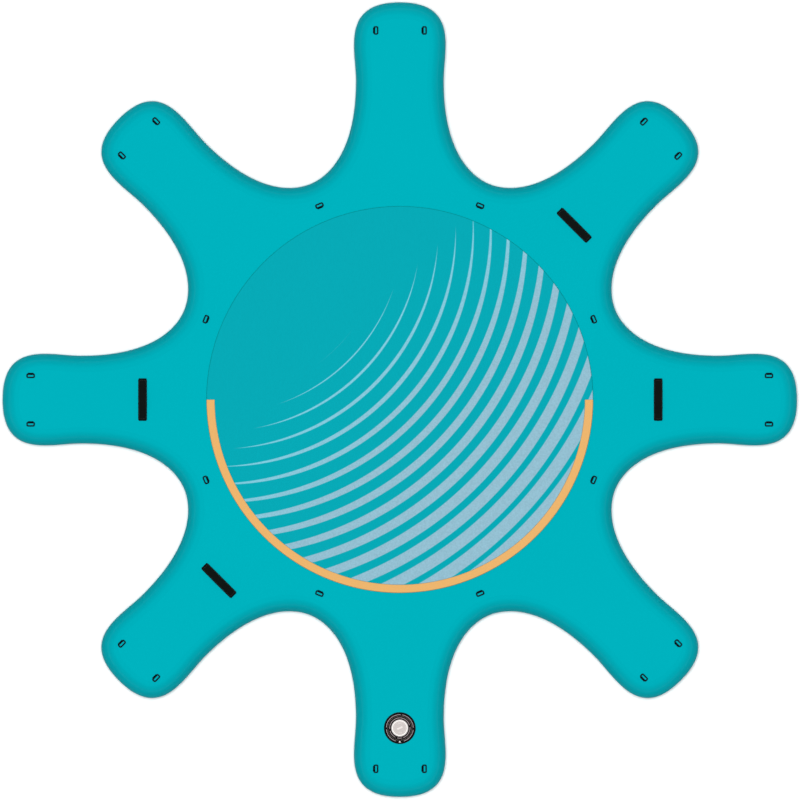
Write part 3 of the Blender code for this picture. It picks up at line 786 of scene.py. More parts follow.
def coated_fabric(name, colour, specular, dimples=False):
    """A satin coat over a woven scrim. Dimples are the rows where the threads inside hold the skin."""
    finish = Finish(name, roughness=0.50, specular=specular)
    finish.shader.inputs["Specular Tint"].default_value = (*COAT_TINT, 1.0)
    finish.bump(finish.weave(SCRIM_PITCH, SCRIM_PITCH), depth=0.00005 if dimples else 0.00002)
    finish.grain(depth=0.00003, scale=900)
    if dimples:
        finish.bump(finish.weave(DIMPLE_PITCH, DIMPLE_PITCH), depth=0.00014)
    cloud = finish.noise(scale=2.3, detail=4)
    tone = finish.shade(colour, cloud, dark=0.97, light=1.03)
    tone = finish.shade(tone, finish.noise(scale=260), dark=0.98, light=1.02)
    finish.roughen(cloud, low=0.46, high=0.54)
    return finish.done(tone)


def thread_block():
    """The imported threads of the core, seen as fine upright streaks."""
    finish = Finish("drop_stitch_threads", roughness=0.85, specular=0.2)
    streaks = finish.grain(depth=0.0004, scale=420, stretch=(1, 1, 0.04))
    return finish.done(finish.shade(CORE_WHITE, streaks, dark=0.80, light=1.08))


def foam_grain(finish):
    """The brushed face of the deck foam: streaks along Y, and specks for its closed cells."""
    streaks = finish.noise(scale=62, detail=3, stretch=(12, 1, 1))
    specks = finish.grain(depth=0.00010, scale=1500, detail=1)
    finish.bump(streaks, depth=0.00008)
    return streaks, specks


def ripples(finish):
    """How much of the ripple print lies here, from 0 to 1, and how broad its stripes are."""
    x, y, _ = finish.axes(finish.place)
    right = finish.math("SUBTRACT", x, RIPPLE_CENTRE[0])
    up = finish.math("SUBTRACT", y, RIPPLE_CENTRE[1])
    ahead = finish.math("MULTIPLY_ADD", right, RIPPLE_AIM[0], finish.math("MULTIPLY", up, RIPPLE_AIM[1]))
    growth = finish.math("POWER", finish.span(ahead, (RIPPLE_FIRST, RIPPLE_LAST)), RIPPLE_GROWTH)
    share = finish.span(growth, (0.0, 1.0), (-RIPPLE_SOFTNESS, RIPPLE_WIDEST))
    phase = finish.math("FRACT", finish.math("DIVIDE", finish.length(right, up), RIPPLE_PITCH))
    from_middle = finish.math("MULTIPLY", finish.math("ABSOLUTE", finish.math("SUBTRACT", phase, 0.5)), 2.0)
    printed = finish.span(finish.math("SUBTRACT", share, from_middle), (-RIPPLE_SOFTNESS, RIPPLE_SOFTNESS))
    return printed, finish.span(share, (0.0, RIPPLE_WIDEST))


def painted_rim_shade(finish):
    """1 in a line of painted shade along the cut edge of the deck's foam, and 0 within it."""
    start = PAD_RADIUS - PAD_RIM_SHADE_WIDTH
    return finish.span(finish.radius(), (start, start + PAD_RIM_SHADE_FADE))


def printed_foam():
    finish = Finish("printed_foam", roughness=0.72, specular=FOAM_SPECULAR)
    streaks, specks = foam_grain(finish)
    printed, breadth = ripples(finish)
    ink = finish.mix(finish.span(breadth, (0.0, INK_BROAD_FROM)), INK_THIN, INK_BROAD)
    ink = finish.shade(ink, finish.noise(scale=170, detail=3), dark=0.82, light=1.18)
    tone = finish.mix(printed, PAD_TEAL, ink)
    # Painted shade along the foam's edge
    tone = finish.mix(painted_rim_shade(finish), tone, PAD_RIM_SHADE_COLOUR)
    tone = finish.shade(tone, streaks, dark=0.93, light=1.07)
    return finish.done(finish.shade(tone, specks, dark=0.94, light=1.06))


def border_foam():
    finish = Finish("border_foam", roughness=0.72, specular=FOAM_SPECULAR)
    streaks, specks = foam_grain(finish)
    # Painted shade along the foam's edge
    tone = finish.mix(painted_rim_shade(finish), ORANGE, ORANGE_RIM_SHADE)
    tone = finish.shade(tone, streaks, dark=0.96, light=1.04)
    return finish.done(finish.shade(tone, specks, dark=0.95, light=1.05))


def webbing(name):
    """Woven tape: coarse yarns with painted shade in the valleys between them, and a fine fuzz."""
    finish = Finish(name, roughness=0.8, specular=BLACK_SPECULAR)
    finish.shader.inputs["Sheen Weight"].default_value = CLOTH_SHEEN
    yarns = finish.weave(pitch_across=0.0022, pitch_along=0.0016)
    finish.bump(yarns, depth=0.00025)
    finish.grain(depth=0.00005, scale=2600)
    # Painted shade and highlight: darker in the weave's valleys, lighter on its crowns
    tone = finish.shade(WEBBING_BLACK, yarns, dark=0.45, light=1.35)
    finish.roughen(yarns, low=0.9, high=0.7, ends=(0.0, 1.0))
    return finish.done(tone)


def neoprene():
    """Knit-faced foam: fine knit loops, with painted shade between them, over a soft uneven face."""
    finish = Finish("neoprene_sleeve", roughness=0.75, specular=BLACK_SPECULAR)
    finish.shader.inputs["Sheen Weight"].default_value = CLOTH_SHEEN
    knit = finish.weave(pitch_across=0.0012, pitch_along=0.0009)
    finish.bump(knit, depth=0.00012)
    cloud = finish.grain(depth=0.0004, scale=90, detail=3)
    # Painted shade and highlight: darker between the knit loops, lighter on them
    tone = finish.shade(GRIP_BLACK, knit, dark=0.7, light=1.25)
    return finish.done(finish.shade(tone, cloud, dark=0.85, light=1.15))


def sewing_thread():
    finish = Finish("sewing_thread", roughness=0.6, specular=0.3)
    twist = finish.grain(depth=0.00006, scale=5200, detail=1)
    return finish.done(finish.shade(THREAD_GREY, twist, dark=0.7, light=1.3))


def coated_wire():
    """Black-coated steel wire with a faint orange peel and rubbed spots."""
    finish = Finish("coated_wire", roughness=0.45, specular=BLACK_SPECULAR)
    peel = finish.grain(depth=0.00003, scale=1800)
    rubbed = finish.span(finish.noise(scale=420, detail=3), RUBBED_RANGE)
    tone = finish.mix(rubbed, WIRE_BLACK, WIRE_RUBBED)
    finish.roughen(peel, low=0.38, high=0.52)
    return finish.done(tone)


def patch_rubber():
    """Moulded rubber with a fine matt grain and a little bloom."""
    finish = Finish("patch_rubber", roughness=0.68, specular=BLACK_SPECULAR)
    grain = finish.grain(depth=0.00005, scale=2400)
    tone = finish.shade(RUBBER_BLACK, finish.noise(scale=85, detail=4), dark=0.75, light=1.35)
    finish.roughen(grain, low=0.6, high=0.78)
    return finish.done(tone)


def raised_print(name, colour):
    """Raised marks with paint on them, worn a little thin."""
    finish = Finish(name, roughness=0.55, specular=0.3)
    worn = finish.grain(depth=0.00004, scale=900, detail=3)
    return finish.done(finish.shade(colour, worn, dark=0.80, light=1.15))


def moulded_plastic(name, colour, roughness):
    """Injection-moulded plastic with a fine spark grain and slow flow marks."""
    finish = Finish(name, roughness=roughness, specular=0.4)
    grain = finish.grain(depth=0.00002, scale=2800, detail=1)
    tone = finish.shade(colour, finish.noise(scale=75, detail=3), dark=0.97, light=1.03)
    finish.roughen(grain, low=roughness - 0.04, high=roughness + 0.06)
    return finish.done(tone)


def cap_plastic():
    """The cap's plastic: a bright rim round a greyer dish, whose relief is lighter."""
    finish = Finish("cap_plastic_moulded", roughness=0.42, specular=0.35)
    dish_edge = CAP_RADIUS - CAP_RIM
    dish_level = CAP_TOP - CAP_DISH
    rim = finish.span(finish.radius(), (dish_edge - CAP_DISH, dish_edge))
    raised = finish.span(finish.axes(finish.place)[2], (dish_level, dish_level + RELIEF_HEIGHT))
    grain = finish.grain(depth=0.00003, scale=2800, detail=1)
    tone = finish.mix(rim, finish.mix(raised, DISH_GREY, DISH_LIGHT), CAP_WHITE)
    tone = finish.shade(tone, finish.noise(scale=160, detail=3), dark=0.95, light=1.05)
    finish.roughen(grain, low=0.38, high=0.5)
    return finish.done(tone)


def soft_rubber():
    finish = Finish("moulded_rubber", roughness=0.5, specular=0.25)
    grain = finish.grain(depth=0.00003, scale=1900)
    return finish.done(finish.shade(RUBBER_BLACK, grain, dark=0.8, light=1.25))


def spring_steel():
    """Drawn wire, with fine marks along it."""
    finish = Finish("drawn_wire", roughness=0.22, metallic=1.0)
    marks = finish.grain(depth=0.00001, scale=900, detail=3, stretch=(1, 1, 6))
    tone = finish.shade(STEEL, marks, dark=0.85, light=1.08)
    finish.roughen(marks, low=0.18, high=0.32)
    return finish.done(tone)


def floor_finish():
    finish = Finish("studio_floor", roughness=0.9, specular=0.0)
    return finish.done(finish.shade(FLOOR_WHITE, finish.noise(scale=1.2, detail=3), dark=0.995, light=1.005))


# Pieces

def piece(name, mesh, material, body, slot, *nodes, place=Vector(), heading=0.0):
    """A piece with its finish, its body and the CAD nodes that it stands for, which it hides. The slot is not
    used.
    """
    obj = new_object(name, mesh, place, heading)
    # A mesh that pieces share is named after the first of them
    if mesh.users == 1:
        mesh.name = name
    mesh.materials.clear()
    mesh.materials.append(material)
    shading = obj.modifiers.new("even_shading", "WEIGHTED_NORMAL")
    shading.keep_sharp = True
    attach(obj, body)
    if nodes:
        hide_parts(*nodes)
    return obj


def make_hull():
    deck_fabric = coated_fabric("coated_fabric_deck", HULL_TEAL, COAT_SPECULAR, dimples=True)
    # The rail and the tape take the darker teal: painted shade round the rail
    rail_fabric = coated_fabric("coated_fabric_rail_shaded", RAIL_TEAL_SHADED, RAIL_SPECULAR)
    tape_fabric = coated_fabric("coated_fabric_tape_shaded", TAPE_TEAL_SHADED, COAT_SPECULAR)
    edge = star_row(RAIL_REACH, 0)
    hole = [VALVE + point for point in arc(BODY_RADIUS + 2 * GAP, 0, math.tau, TURN_STEPS)[:-1]]
    top = plate([edge, hole], DECK - SKIN_THICKNESS, DECK)
    bottom = plate([edge], 0, SKIN_THICKNESS)
    wall = rail_rows(0.0, RAIL_STEPS) + rail_rows(SKIN_THICKNESS, LINING_STEPS)[::-1]
    piece("hull_top_skin", top, deck_fabric, HULL, "hull_fabric", "top_skin")
    piece("hull_bottom_skin", bottom, deck_fabric, HULL, "hull_fabric", "bottom_skin")
    piece("hull_side_wall", grid_mesh(wall, wrap_rows=True), rail_fabric, HULL, "hull_fabric", "side_wall")
    piece("seam_tape_top", tape_mesh(1), tape_fabric, HULL, "hull_fabric")
    piece("seam_tape_bottom", tape_mesh(-1), tape_fabric, HULL, "hull_fabric")
    block = grid_mesh(rail_rows(SKIN_INSET, LINING_STEPS), caps=True)
    pocketed = cut(block, rod(POCKET_RADIUS, (-POCKET_DEPTH, SKIN_THICKNESS)), place=VALVE)
    core = piece("thread_core", pocketed, thread_block(), HULL, "drop_stitch", "drop_stitch_core")


def tape_mesh(side):
    """A thin tape over the seam between a skin and the rail, on the upper (1) or the lower (-1) side."""
    face = [(RAIL_REACH + TAPE_ON_SKIN, DECK, QUARTER), (RAIL_REACH + TAPE_ON_SKIN / 2, DECK, QUARTER)]
    for i in range(TAPE_STEPS + 1):
        angle = QUARTER - TAPE_ON_RAIL * i / TAPE_STEPS
        face.append((*rail_point(angle), angle))
    cover = []
    bed = []
    for i, (inset, height, angle) in enumerate(face):
        proud = TAPE_EDGE if i in (0, len(face) - 1) else TAPE_THICKNESS
        cover.append((inset - proud * math.cos(angle), height + proud * math.sin(angle)))
        bed.append((inset + TAPE_EDGE * math.cos(angle), height - TAPE_EDGE * math.sin(angle)))
    rows = []
    for inset, height in cover + bed[::-1]:
        rows.append(star_row(inset, HALF_THICKNESS + side * (height - HALF_THICKNESS)))
    return grid_mesh(rows, wrap_rows=True)


def foam_sheet(outline):
    """A sheet with a rounded rim, whose outline is given as a function of the inset."""
    high = PAD_HIGH.z
    levels = [(0.0, PAD_LOW.z)]
    for i in range(PAD_EDGE_STEPS + 1):
        angle = QUARTER * i / PAD_EDGE_STEPS
        levels.append((PAD_EDGE * (1 - math.cos(angle)), high - PAD_EDGE * (1 - math.sin(angle))))
    levels.append((PAD_SUPPORT, high))
    return grid_mesh([at_height(outline(inset), height) for inset, height in levels], SHARP_PADDED, caps=True)


def pad_outline(inset):
    upper = arc(PAD_RADIUS - inset, 0, math.pi, PAD_STEPS)
    return upper + arc(PAD_RADIUS - BORDER_WIDTH - GAP - inset, math.pi, math.tau, PAD_STEPS)


def border_outline(inset):
    end_gap = (GAP + inset) / (PAD_RADIUS - BORDER_WIDTH)
    ends = (math.pi + end_gap, math.tau - end_gap)
    outer = arc(PAD_RADIUS - inset, *ends, PAD_STEPS)
    return outer + arc(PAD_RADIUS - BORDER_WIDTH + inset, *ends, PAD_STEPS)[::-1]


def make_deck_pad():
    for name, outline, material, slot, node in (
        ("deck_foam_pad", pad_outline, printed_foam(), "deck_foam", "deck_pad"),
        ("deck_foam_border", border_outline, border_foam(), "border_foam", "deck_pad_border"),
    ):
        pad = piece(name, foam_sheet(outline), material, HULL, slot, node)


def loop_frames():
    """The webbing's path over the bar, from the skin up, over and down, in X and Z about the bar."""
    leg = GAP + WIRE_RADIUS + SKIN_THICKNESS / 2
    radius = WIRE_RADIUS + LOOP_CLEARANCE + LOOP_THICKNESS / 2
    over = upright(arc(radius, math.pi, 0, LOOP_STEPS))
    return side_frames([Vector((-radius, 0, -leg)), *over, Vector((radius, 0, -leg))])


def ring_frames():
    """The ring's wire, from its round bar at Y 0. Its other three sides are pressed a little flat."""
    end = RING_LENGTH / 2 - WIRE_RADIUS
    corners = ((end, 0, -90), (end, RING_DEPTH, 0), (-end, RING_DEPTH, 90), (-end, 0, 180))
    frames = []
    for number, (x, y, start) in enumerate(corners):
        pull = Vector((math.copysign(RING_CORNER, x), RING_CORNER if y else -RING_CORNER, 0))
        centre = Vector((x, y, 0)) - pull
        for i in range(RING_CORNER_STEPS + 1):
            turned_by = i / RING_CORNER_STEPS
            out = polar(1.0, math.radians(start + 90 * turned_by))
            from_bar = min(number + turned_by, len(corners) - number - turned_by, 1)
            width = 1 + (WIRE_FLATNESS - 1) * from_bar
            frames.append((centre + RING_CORNER * out, out * width, Vector((0, 0, 1))))
    return frames


def make_rings():
    wire = swept(ring_frames(), round_section(WIRE_RADIUS, WIRE_SIDES), closed=True)
    strip = swept(loop_frames(), rounded_section(LOOP_WIDTH, LOOP_THICKNESS, LOOP_ROUNDING))
    metal = coated_wire()
    matrices = []
    for joint in frame["joints"]:
        if not joint["name"].endswith("_flip"):
            continue
        name = joint["child"]
        bar = Vector(joint["pos_m"])
        axis = Vector(joint["axis"])
        heading = math.atan2(axis.y, axis.x)
        piece(name + "_wire", wire, metal, name, "ring_metal", name, place=bar, heading=heading)
        matrices.append(Matrix.Translation(bar) @ Matrix.Rotation(heading + QUARTER, 4, "Z"))
    loops = copies(strip, matrices)
    piece("ring_webbing_loops", loops, webbing("webbing_loops"), HULL, "webbing", "top_skin")


def grip_path(steps):
    """The grip's middle line along its arch, in X and Z from the deck."""
    path = []
    for i in range(steps + 1):
        along = 2 * i / steps - 1
        rise = HANDLE_RISE * math.cos(along * QUARTER) ** 2
        path.append(Vector((along * GRIP_HALF_LENGTH, 0, HANDLE_END + rise)))
    return path


def strap_path():
    """The strap from under one end of the grip, round the fold, along the grip and back under."""
    arch = grip_path(HANDLE_STEPS)
    centre = Vector((arch[-1].x, 0, HANDLE_FOOT + FOLD_RADIUS))
    fold = [centre + point for point in upright(arc(FOLD_RADIUS, QUARTER, -QUARTER, STRAP_FOLD_STEPS))]
    right = fold[1:] + [Vector((centre.x - STRAP_FOOT, 0, HANDLE_FOOT))]
    left = [Vector((-point.x, 0, point.z)) for point in reversed(right)]
    return left + arch + right


def grip_thickness(across):
    """Half the grip's thickness at this distance from its middle line: a crown, seams and round edges."""
    from_edge = GRIP_WIDTH / 2 - abs(across)
    round_off = math.sqrt(max(0.0, 1 - max(0.0, 1 - from_edge / GRIP_SEAM_SETBACK) ** 2))
    crown = GRIP_CROWN * max(0.0, 1 - (across / (GRIP_WIDTH / 2 - GRIP_SEAM_SETBACK)) ** 2)
    seam = GRIP_SEAM_DEPTH * seam_share(from_edge)
    return GRIP_THICKNESS / 2 * round_off + crown - seam * round_off


def seam_share(from_edge):
    """How far a seam draws the sleeve in at this distance from its edge: 1 on the seam, 0 away from it."""
    return math.exp(-(((from_edge - GRIP_SEAM_SETBACK) / GRIP_SEAM_WIDTH) ** 2))


def grip_mesh():
    """The padded sleeve round the strap, sewn along both edges and across both ends."""
    count = GRIP_SIDE_STEPS
    acrosses = [GRIP_WIDTH / 2 * math.sin(math.radians(90 - 180 * i / count)) for i in range(count + 1)]
    rows = []
    for point, first, second in side_frames(grip_path(GRIP_STEPS)):
        hem = 1 - GRIP_HEM_DEPTH * seam_share(GRIP_HALF_LENGTH - abs(point.x))
        upper = [point + first * a + second * grip_thickness(a) * hem for a in acrosses]
        lower = [point + first * a - second * grip_thickness(a) * hem for a in acrosses[-2:0:-1]]
        rows.append(upper + lower)
    return grid_mesh(rows, SHARP_PADDED, caps=True)


def stitch_mesh():
    """One stitch: a thread that comes up, lies along X and goes down again."""
    path = []
    for i in range(STITCH_STEPS + 1):
        along = i / STITCH_STEPS
        path.append(Vector(((along - 0.5) * STITCH_LENGTH, 0, STITCH_RISE * math.sin(math.pi * along))))
    return swept(side_frames(path), round_section(STITCH_RADIUS, STITCH_SIDES))


def grip_stitches():
    """Stitches along both long seams of a grip and across its ends, on its upper face."""
    reach = GRIP_HALF_LENGTH - GRIP_SEAM_SETBACK
    lateral = GRIP_WIDTH / 2 - GRIP_SEAM_SETBACK
    matrices = []
    for point, first, second in side_frames(grip_path(int(2 * reach / STITCH_PITCH)))[1:-1]:
        slope = Matrix.Rotation(math.atan2(second.x, second.z), 4, "Y")
        for side in (-1, 1):
            place = point + first * side * lateral + second * (grip_thickness(lateral) + STITCH_RADIUS / 2)
            matrices.append(Matrix.Translation(place) @ slope)
    end_count = int(2 * (lateral - STITCH_PITCH / 2) / STITCH_PITCH)
    hem_frames = side_frames(grip_path(GRIP_HEM_STEPS))
    for end in (-1, 1):
        share = (1 + end * reach / GRIP_HALF_LENGTH) / 2
        point, first, second = hem_frames[round(share * GRIP_HEM_STEPS)]
        for i in range(end_count):
            across = (i - (end_count - 1) / 2) * STITCH_PITCH
            place = point + first * across + second * grip_thickness(across) * END_STITCH_LEVEL
            matrices.append(Matrix.Translation(place) @ Matrix.Rotation(QUARTER, 4, "Z"))
    return copies(stitch_mesh(), matrices)


def make_handles():
    sleeve = grip_mesh()
    stitches = grip_stitches()
    strap = swept(side_frames(strap_path()), rounded_section(STRAP_WIDTH, STRAP_THICKNESS, STRAP_ROUNDING))
    knit = neoprene()
    tape = webbing("webbing_strap")
    thread = sewing_thread()
    for name, degrees in HANDLE_HEADINGS.items():
        low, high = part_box(f"handle_grip_{name}")
        middle = (low + high) / 2
        spot = {"place": Vector((middle.x, middle.y, DECK)), "heading": math.radians(degrees + 90)}
        grip = piece(f"handle_{name}_sleeve", sleeve, knit, HULL, "grip_foam", f"handle_grip_{name}", **spot)
        piece(f"handle_{name}_strap", strap, tape, HULL, "webbing", f"handle_strap_{name}", **spot)
        piece(f"handle_{name}_stitches", stitches, thread, HULL, "webbing", **spot)


def make_patch():
    top = GAP + PATCH_THICKNESS
    patch = ring((PATCH_HOLE_RADIUS, PATCH_RADIUS), (GAP, top), PATCH_EDGE, PATCH_STEPS)
    piece("valve_patch_ring", patch, patch_rubber(), HULL, "patch_rubber", "valve_patch", place=VALVE)
    heights = around(top, 2 * MARK_HEIGHT)
    marks = []
    for radius, arcs in ((OUTER_MARK_RADIUS, OUTER_MARK_ARCS), (INNER_MARK_RADIUS, INNER_MARK_ARCS)):
        for start, end in arcs:
            angles = (math.radians(start), math.radians(end))
            steps = int((end - start) / MARK_STEP)
            marks.append(arc_block(around(radius, MARK_WIDTH), angles, heights, steps, MARK_HEIGHT / 2))
    ticks = []
    for i in range(TICK_COUNT):
        length = TICK_LENGTH if i % TICKS_IN_GROUP else TICK_LENGTH / 2
        angle = math.tau * (i + 0.5) / TICK_COUNT
        ticks.append(prism(rectangle(around(TICK_RADIUS, length), around(0, TICK_WIDTH), angle), heights))
    left, right = around(0, POINTER_WIDTH)
    point, foot = around(POINTER_RADIUS, POINTER_LENGTH)
    pointer = prism([Vector((0, -point, 0)), Vector((left, -foot, 0)), Vector((right, -foot, 0))], heights)
    for name, mesh, finish, colour in (
        ("patch_ring_marks", merged(marks), "raised_marks", MARK_GREY),
        ("patch_tick_marks", merged(ticks), "raised_ticks", TICK_GREY),
        ("patch_pointer", pointer, "raised_pointer", CAP_WHITE),
    ):
        piece(name, mesh, raised_print(finish, colour), HULL, "patch_rubber", place=VALVE)


def bayonet_cut(body):
    """Entries down from the rim, each with a run on which the cap's lug turns clockwise."""
    low = BAYONET_BASE - BAYONET_PLAY
    high = BAYONET_TOP + BAYONET_PLAY
    radii = around(BORE_RADIUS, 2 * BAYONET_REACH)
    for middle in BAYONET_HEADINGS:
        start, end = around(middle, 2 * (BAYONET_HALF_ANGLE + BAYONET_PLAY_ANGLE))
        body = cut(body, arc_block(radii, (start, end), (low, BODY_TOP + GAP), BAYONET_STEPS, 0))
        body = cut(body, arc_block(radii, (start - BAYONET_TURN, end), (low, high), BAYONET_RUN_STEPS, 0))
    return body


def body_mesh():
    """The upper valve: a flange, a bore with a seat at its foot, and the stem's guide on its spokes."""
    corners = (
        (BORE_RADIUS, BODY_TOP, BORE_EDGE),
        (FLANGE_RADIUS, BODY_TOP, FLANGE_EDGE),
        (FLANGE_RADIUS, BODY_BASE, 0),
        (BODY_RADIUS, BODY_BASE, 0),
        (BODY_RADIUS, -BODY_DEPTH, BORE_EDGE),
        (SEAT_RADIUS, -BODY_DEPTH, BORE_EDGE),
        (SEAT_RADIUS, SEAT_THICKNESS - BODY_DEPTH, BORE_EDGE),
        (BORE_RADIUS, SEAT_THICKNESS - BODY_DEPTH, 0),
    )
    body = turned(rounded(corners), TURN_STEPS)
    hub_base = HUB_TOP - HUB_THICKNESS
    ends = ((STEM_RADIUS + LUG_REACH) / 2, (BORE_RADIUS + BODY_RADIUS) / 2)
    for i in range(SPOKE_COUNT):
        outline = rectangle(ends, around(0, SPOKE_WIDTH), math.tau * i / SPOKE_COUNT)
        body = cut(body, prism(outline, (hub_base + GAP, HUB_TOP - GAP)), "UNION")
    body = cut(body, rod(HUB_RADIUS, (hub_base, HUB_TOP), BORE_EDGE), "UNION")
    through = (hub_base - GAP, HUB_TOP + GAP)
    body = cut(body, rod(STEM_RADIUS + STEM_CLEARANCE, through))
    keyway = rectangle(around(0, 2 * (LUG_REACH + STEM_CLEARANCE)), around(0, LUG_WIDTH + 2 * STEM_CLEARANCE))
    body = cut(body, prism(keyway, through))
    return clean(bayonet_cut(body), SHARP_CUT)


def stem_mesh():
    """The stem: a domed knob, a rod with two lugs that pass the keyway, and the plate under the seal."""
    knob_base = -KNOB_DEPTH - KNOB_THICKNESS
    plate_radius = SEAT_RADIUS - PLATE_MARGIN
    plate_top = -BODY_DEPTH - 2 * GAP - SEAL_THICKNESS
    plate_base = plate_top - PLATE_THICKNESS
    shares = [i / KNOB_STEPS for i in range(KNOB_STEPS + 1)]
    corners = [(KNOB_RADIUS * share, -KNOB_DEPTH - KNOB_CROWN * share ** 4, 0) for share in shares]
    corners += [
        (KNOB_RADIUS, knob_base, KNOB_EDGE),
        (STEM_RADIUS, knob_base, KNOB_EDGE),
        (STEM_RADIUS, plate_top, 0),
        (plate_radius, plate_top, KNOB_EDGE),
        (plate_radius, plate_base, KNOB_EDGE),
        (0.0, plate_base, 0),
    ]
    stem = turned(rounded(corners), SMALL_TURN_STEPS, closed=False)
    low = HUB_TOP + GAP
    lugs = prism(rectangle(around(0, 2 * LUG_REACH), around(0, LUG_WIDTH)), (low, low + LUG_HEIGHT))
    return merged([stem, lugs])


def spring_mesh():
    low = HUB_TOP + GAP + SPRING_WIRE_RADIUS
    high = -KNOB_DEPTH - KNOB_THICKNESS - GAP - SPRING_WIRE_RADIUS
    climb = (high - low) / (math.tau * SPRING_TURNS)
    frames = []
    for i in range(SPRING_TURNS * SPRING_TURN_POINTS + 1):
        angle = math.tau * i / SPRING_TURN_POINTS
        out = polar(1.0, angle)
        along = Vector((-SPRING_RADIUS * out.y, SPRING_RADIUS * out.x, climb)).normalized()
        point = out * SPRING_RADIUS + Vector((0, 0, low + climb * angle))
        frames.append((point, out, along.cross(out)))
    return swept(frames, round_section(SPRING_WIRE_RADIUS, SPRING_SIDES))


def make_valve():
    """The body and its nut's finish, the stem with its seal and spring, and the gasket under the cap."""
    # The body's grey is painted shade for the cap's shadow on its flange
    shaded_grey_plastic = moulded_plastic("moulded_plastic_shaded_grey", VALVE_GREY_SHADED, roughness=0.36)
    rubber = soft_rubber()
    piece("valve_upper_body", body_mesh(), shaded_grey_plastic, HULL, "valve_plastic", "valve_body", place=VALVE)
    nut = bpy.data.objects["valve_base_nut"]
    nut.data.materials.clear()
    nut.data.materials.append(moulded_plastic("moulded_plastic_nut", NUT_WHITE, roughness=0.42))
    piece("valve_push_stem", stem_mesh(), shaded_grey_plastic, "stem", "valve_plastic", "valve_stem", place=VALVE)
    top = -BODY_DEPTH - GAP
    radii = (STEM_RADIUS + STEM_CLEARANCE, SEAT_RADIUS + SEAL_LAP)
    seal = ring(radii, (top - SEAL_THICKNESS, top), SEAL_EDGE, TURN_STEPS)
    piece("valve_seat_seal", seal, rubber, "stem_carrier", "seal_rubber", "valve_seal", place=VALVE)
    coil = spring_mesh()
    steel = spring_steel()
    spring = piece("valve_return_spring", coil, steel, HULL, "spring_steel", "valve_spring", place=VALVE)
    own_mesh(spring)
    low = BODY_TOP + GAP
    gasket = ring(around(GASKET_RADIUS, GASKET_WIDTH), (low, low + GASKET_THICKNESS), SEAL_EDGE, TURN_STEPS)
    piece("cap_sealing_ring", gasket, rubber, "cap_carrier", "seal_rubber", "cap_gasket", place=VALVE)


def arrow_outline(start):
    """A curved arrow round the cap's middle, counterclockwise, with its head at the far end."""
    neck = start + ARROW_SPAN - ARROW_HEAD
    inner, outer = around(ARROW_RADIUS, ARROW_LINE)
    head_in, head_out = around(ARROW_RADIUS, ARROW_HEAD_WIDTH)
    head = [polar(head_out, neck), polar(ARROW_RADIUS, start + ARROW_SPAN), polar(head_in, neck)]
    return arc(outer, start, neck, ARROW_STEPS) + head + arc(inner, start, neck, ARROW_STEPS)[::-1]


def cap_relief():
    """What stands up from the cap's dish: a grip bar, a ring, and two arrows that show the turn."""
    dish = CAP_TOP - CAP_DISH
    heights = (dish - RELIEF_BEVEL, dish + RELIEF_HEIGHT)
    bar = rectangle(around(0, BAR_LENGTH), around(0, BAR_WIDTH), BAR_HEADING)
    outlines = [bar] + [arrow_outline(start) for start in ARROW_STARTS]
    meshes = [prism(outline, heights, RELIEF_BEVEL) for outline in outlines]
    meshes.append(ring(around(RELIEF_RING_RADIUS, RELIEF_RING_WIDTH), heights, RELIEF_BEVEL, CAP_TURN_STEPS))
    return meshes


def cap_profile():
    """(radius, height) pairs over the cap's dish, down its side, and round the groove and the skirt."""
    dish_edge = CAP_RADIUS - CAP_RIM
    dish = CAP_TOP - CAP_DISH
    inner, outer = around(GASKET_RADIUS, GASKET_WIDTH + 2 * GAP)
    groove_top = BODY_TOP + 2 * GAP + GASKET_THICKNESS
    skirt_inner = SKIRT_RADIUS - SKIRT_THICKNESS
    return rounded((
        (0.0, dish, 0),
        (dish_edge - CAP_DISH, dish, RELIEF_BEVEL),
        (dish_edge, CAP_TOP, RELIEF_BEVEL),
        (CAP_RADIUS, CAP_TOP, CAP_EDGE),
        (CAP_RADIUS, CAP_BASE, CAP_SMALL_EDGE),
        (outer, CAP_BASE, 0),
        (outer, groove_top, 0),
        (inner, groove_top, 0),
        (inner, CAP_BASE, 0),
        (SKIRT_RADIUS, CAP_BASE, 0),
        (SKIRT_RADIUS, -SKIRT_DEPTH, CAP_SMALL_EDGE),
        (skirt_inner, -SKIRT_DEPTH, CAP_SMALL_EDGE),
        (skirt_inner, CAP_BASE, CAP_SMALL_EDGE),
        (0.0, CAP_BASE, 0),
    ))


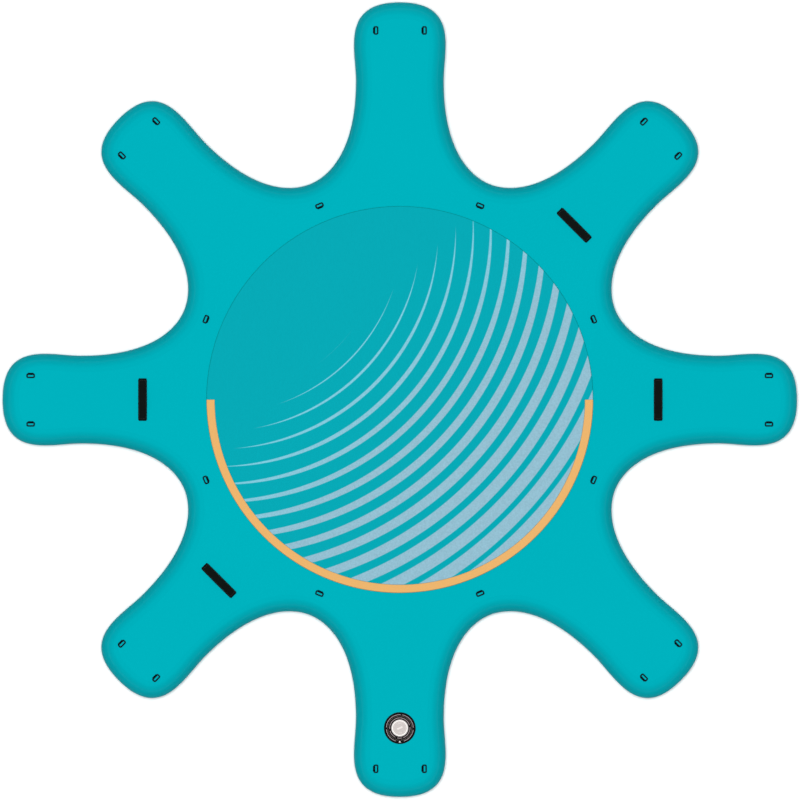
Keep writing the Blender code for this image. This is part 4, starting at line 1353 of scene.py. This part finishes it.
def make_cap():
    """The cap: a dished face with relief, a bright rim with flutes, a groove, and a skirt with two lugs."""
    rows = []
    flute_pitch = math.tau / FLUTE_COUNT
    for radius, height in cap_profile():
        share = smooth_step(radius, CAP_RADIUS - CAP_EDGE - FLUTE_DEPTH, CAP_RADIUS - CAP_EDGE)
        row = []
        for i in range(CAP_TURN_STEPS):
            angle = math.tau * i / CAP_TURN_STEPS
            from_flute = abs((angle % flute_pitch) - flute_pitch / 2) / FLUTE_HALF_ANGLE
            hollow = FLUTE_DEPTH * math.cos(min(from_flute, 1.0) * QUARTER) * share
            row.append(polar(radius - hollow, angle) + Vector((0, 0, height)))
        rows.append(row)
    meshes = [grid_mesh(rows, SHARP_CAP), *cap_relief()]
    radii = (SKIRT_RADIUS - SKIRT_THICKNESS / 2, SKIRT_RADIUS + BAYONET_REACH)
    heights = (BAYONET_BASE, BAYONET_TOP)
    for middle in BAYONET_HEADINGS:
        angles = around(middle, 2 * BAYONET_HALF_ANGLE)
        meshes.append(arc_block(radii, angles, heights, BAYONET_STEPS, CAP_SMALL_EDGE))
    piece("valve_turn_cap", merged(meshes), cap_plastic(), "cap", "cap_plastic", "valve_cap", place=VALVE)


# The studio

def lamp(name, strength, spread, tilt):
    """A broad far light, this far from overhead towards the upper left of the view."""
    data = bpy.data.lights.new(name, "SUN")
    data.energy = strength
    data.angle = spread
    light = new_object(name, data)
    towards = polar(math.sin(tilt), KEY_HEADING) + Vector((0, 0, math.cos(tilt)))
    light.rotation_euler = towards.to_track_quat("Z", "Y").to_euler()
    return light


def studio_sky():
    """A dim even sky over a pale horizon, and as pale below it."""
    world = bpy.data.worlds.new("studio_sky")
    world.use_nodes = True
    nodes = Nodes(world.node_tree)
    sky = nodes.tree.nodes["Background"]
    sky.inputs["Color"].default_value = (*SKY_WHITE, 1.0)
    _, _, upward = nodes.axes(nodes.add("TexCoord").outputs["Generated"])
    strength = nodes.span(upward, HORIZON_HEIGHTS, (HORIZON_STRENGTH, SKY_STRENGTH))
    nodes.tree.links.new(strength, sky.inputs["Strength"])
    return world


def make_studio():
    floor_mesh = bpy.data.meshes.new("studio_floor")
    ends = around(0, FLOOR_SIZE)
    floor_mesh.from_pydata(rectangle(ends, ends), [], [(0, 1, 2, 3)])
    floor_mesh.materials.append(floor_finish())
    floor = new_object("studio_floor", floor_mesh, Vector((0, 0, FLOOR_HEIGHT)))
    key = lamp("key_light", KEY_STRENGTH, KEY_SPREAD, KEY_TILT)
    side = lamp("side_light", SIDE_STRENGTH, SIDE_SPREAD, SIDE_TILT)
    lens = bpy.data.cameras.new("camera")
    lens.type = "ORTHO"
    lens.ortho_scale = VIEW_WIDTH
    camera = new_object("camera", lens, Vector((*VIEW_CENTRE, VIEW_HEIGHT)))
    scene = bpy.context.scene
    scene.camera = camera
    scene.view_settings.view_transform = "Standard"
    scene.world = studio_sky()


make_hull()
make_deck_pad()
make_rings()
make_handles()
make_patch()
make_valve()
make_cap()
make_studio()
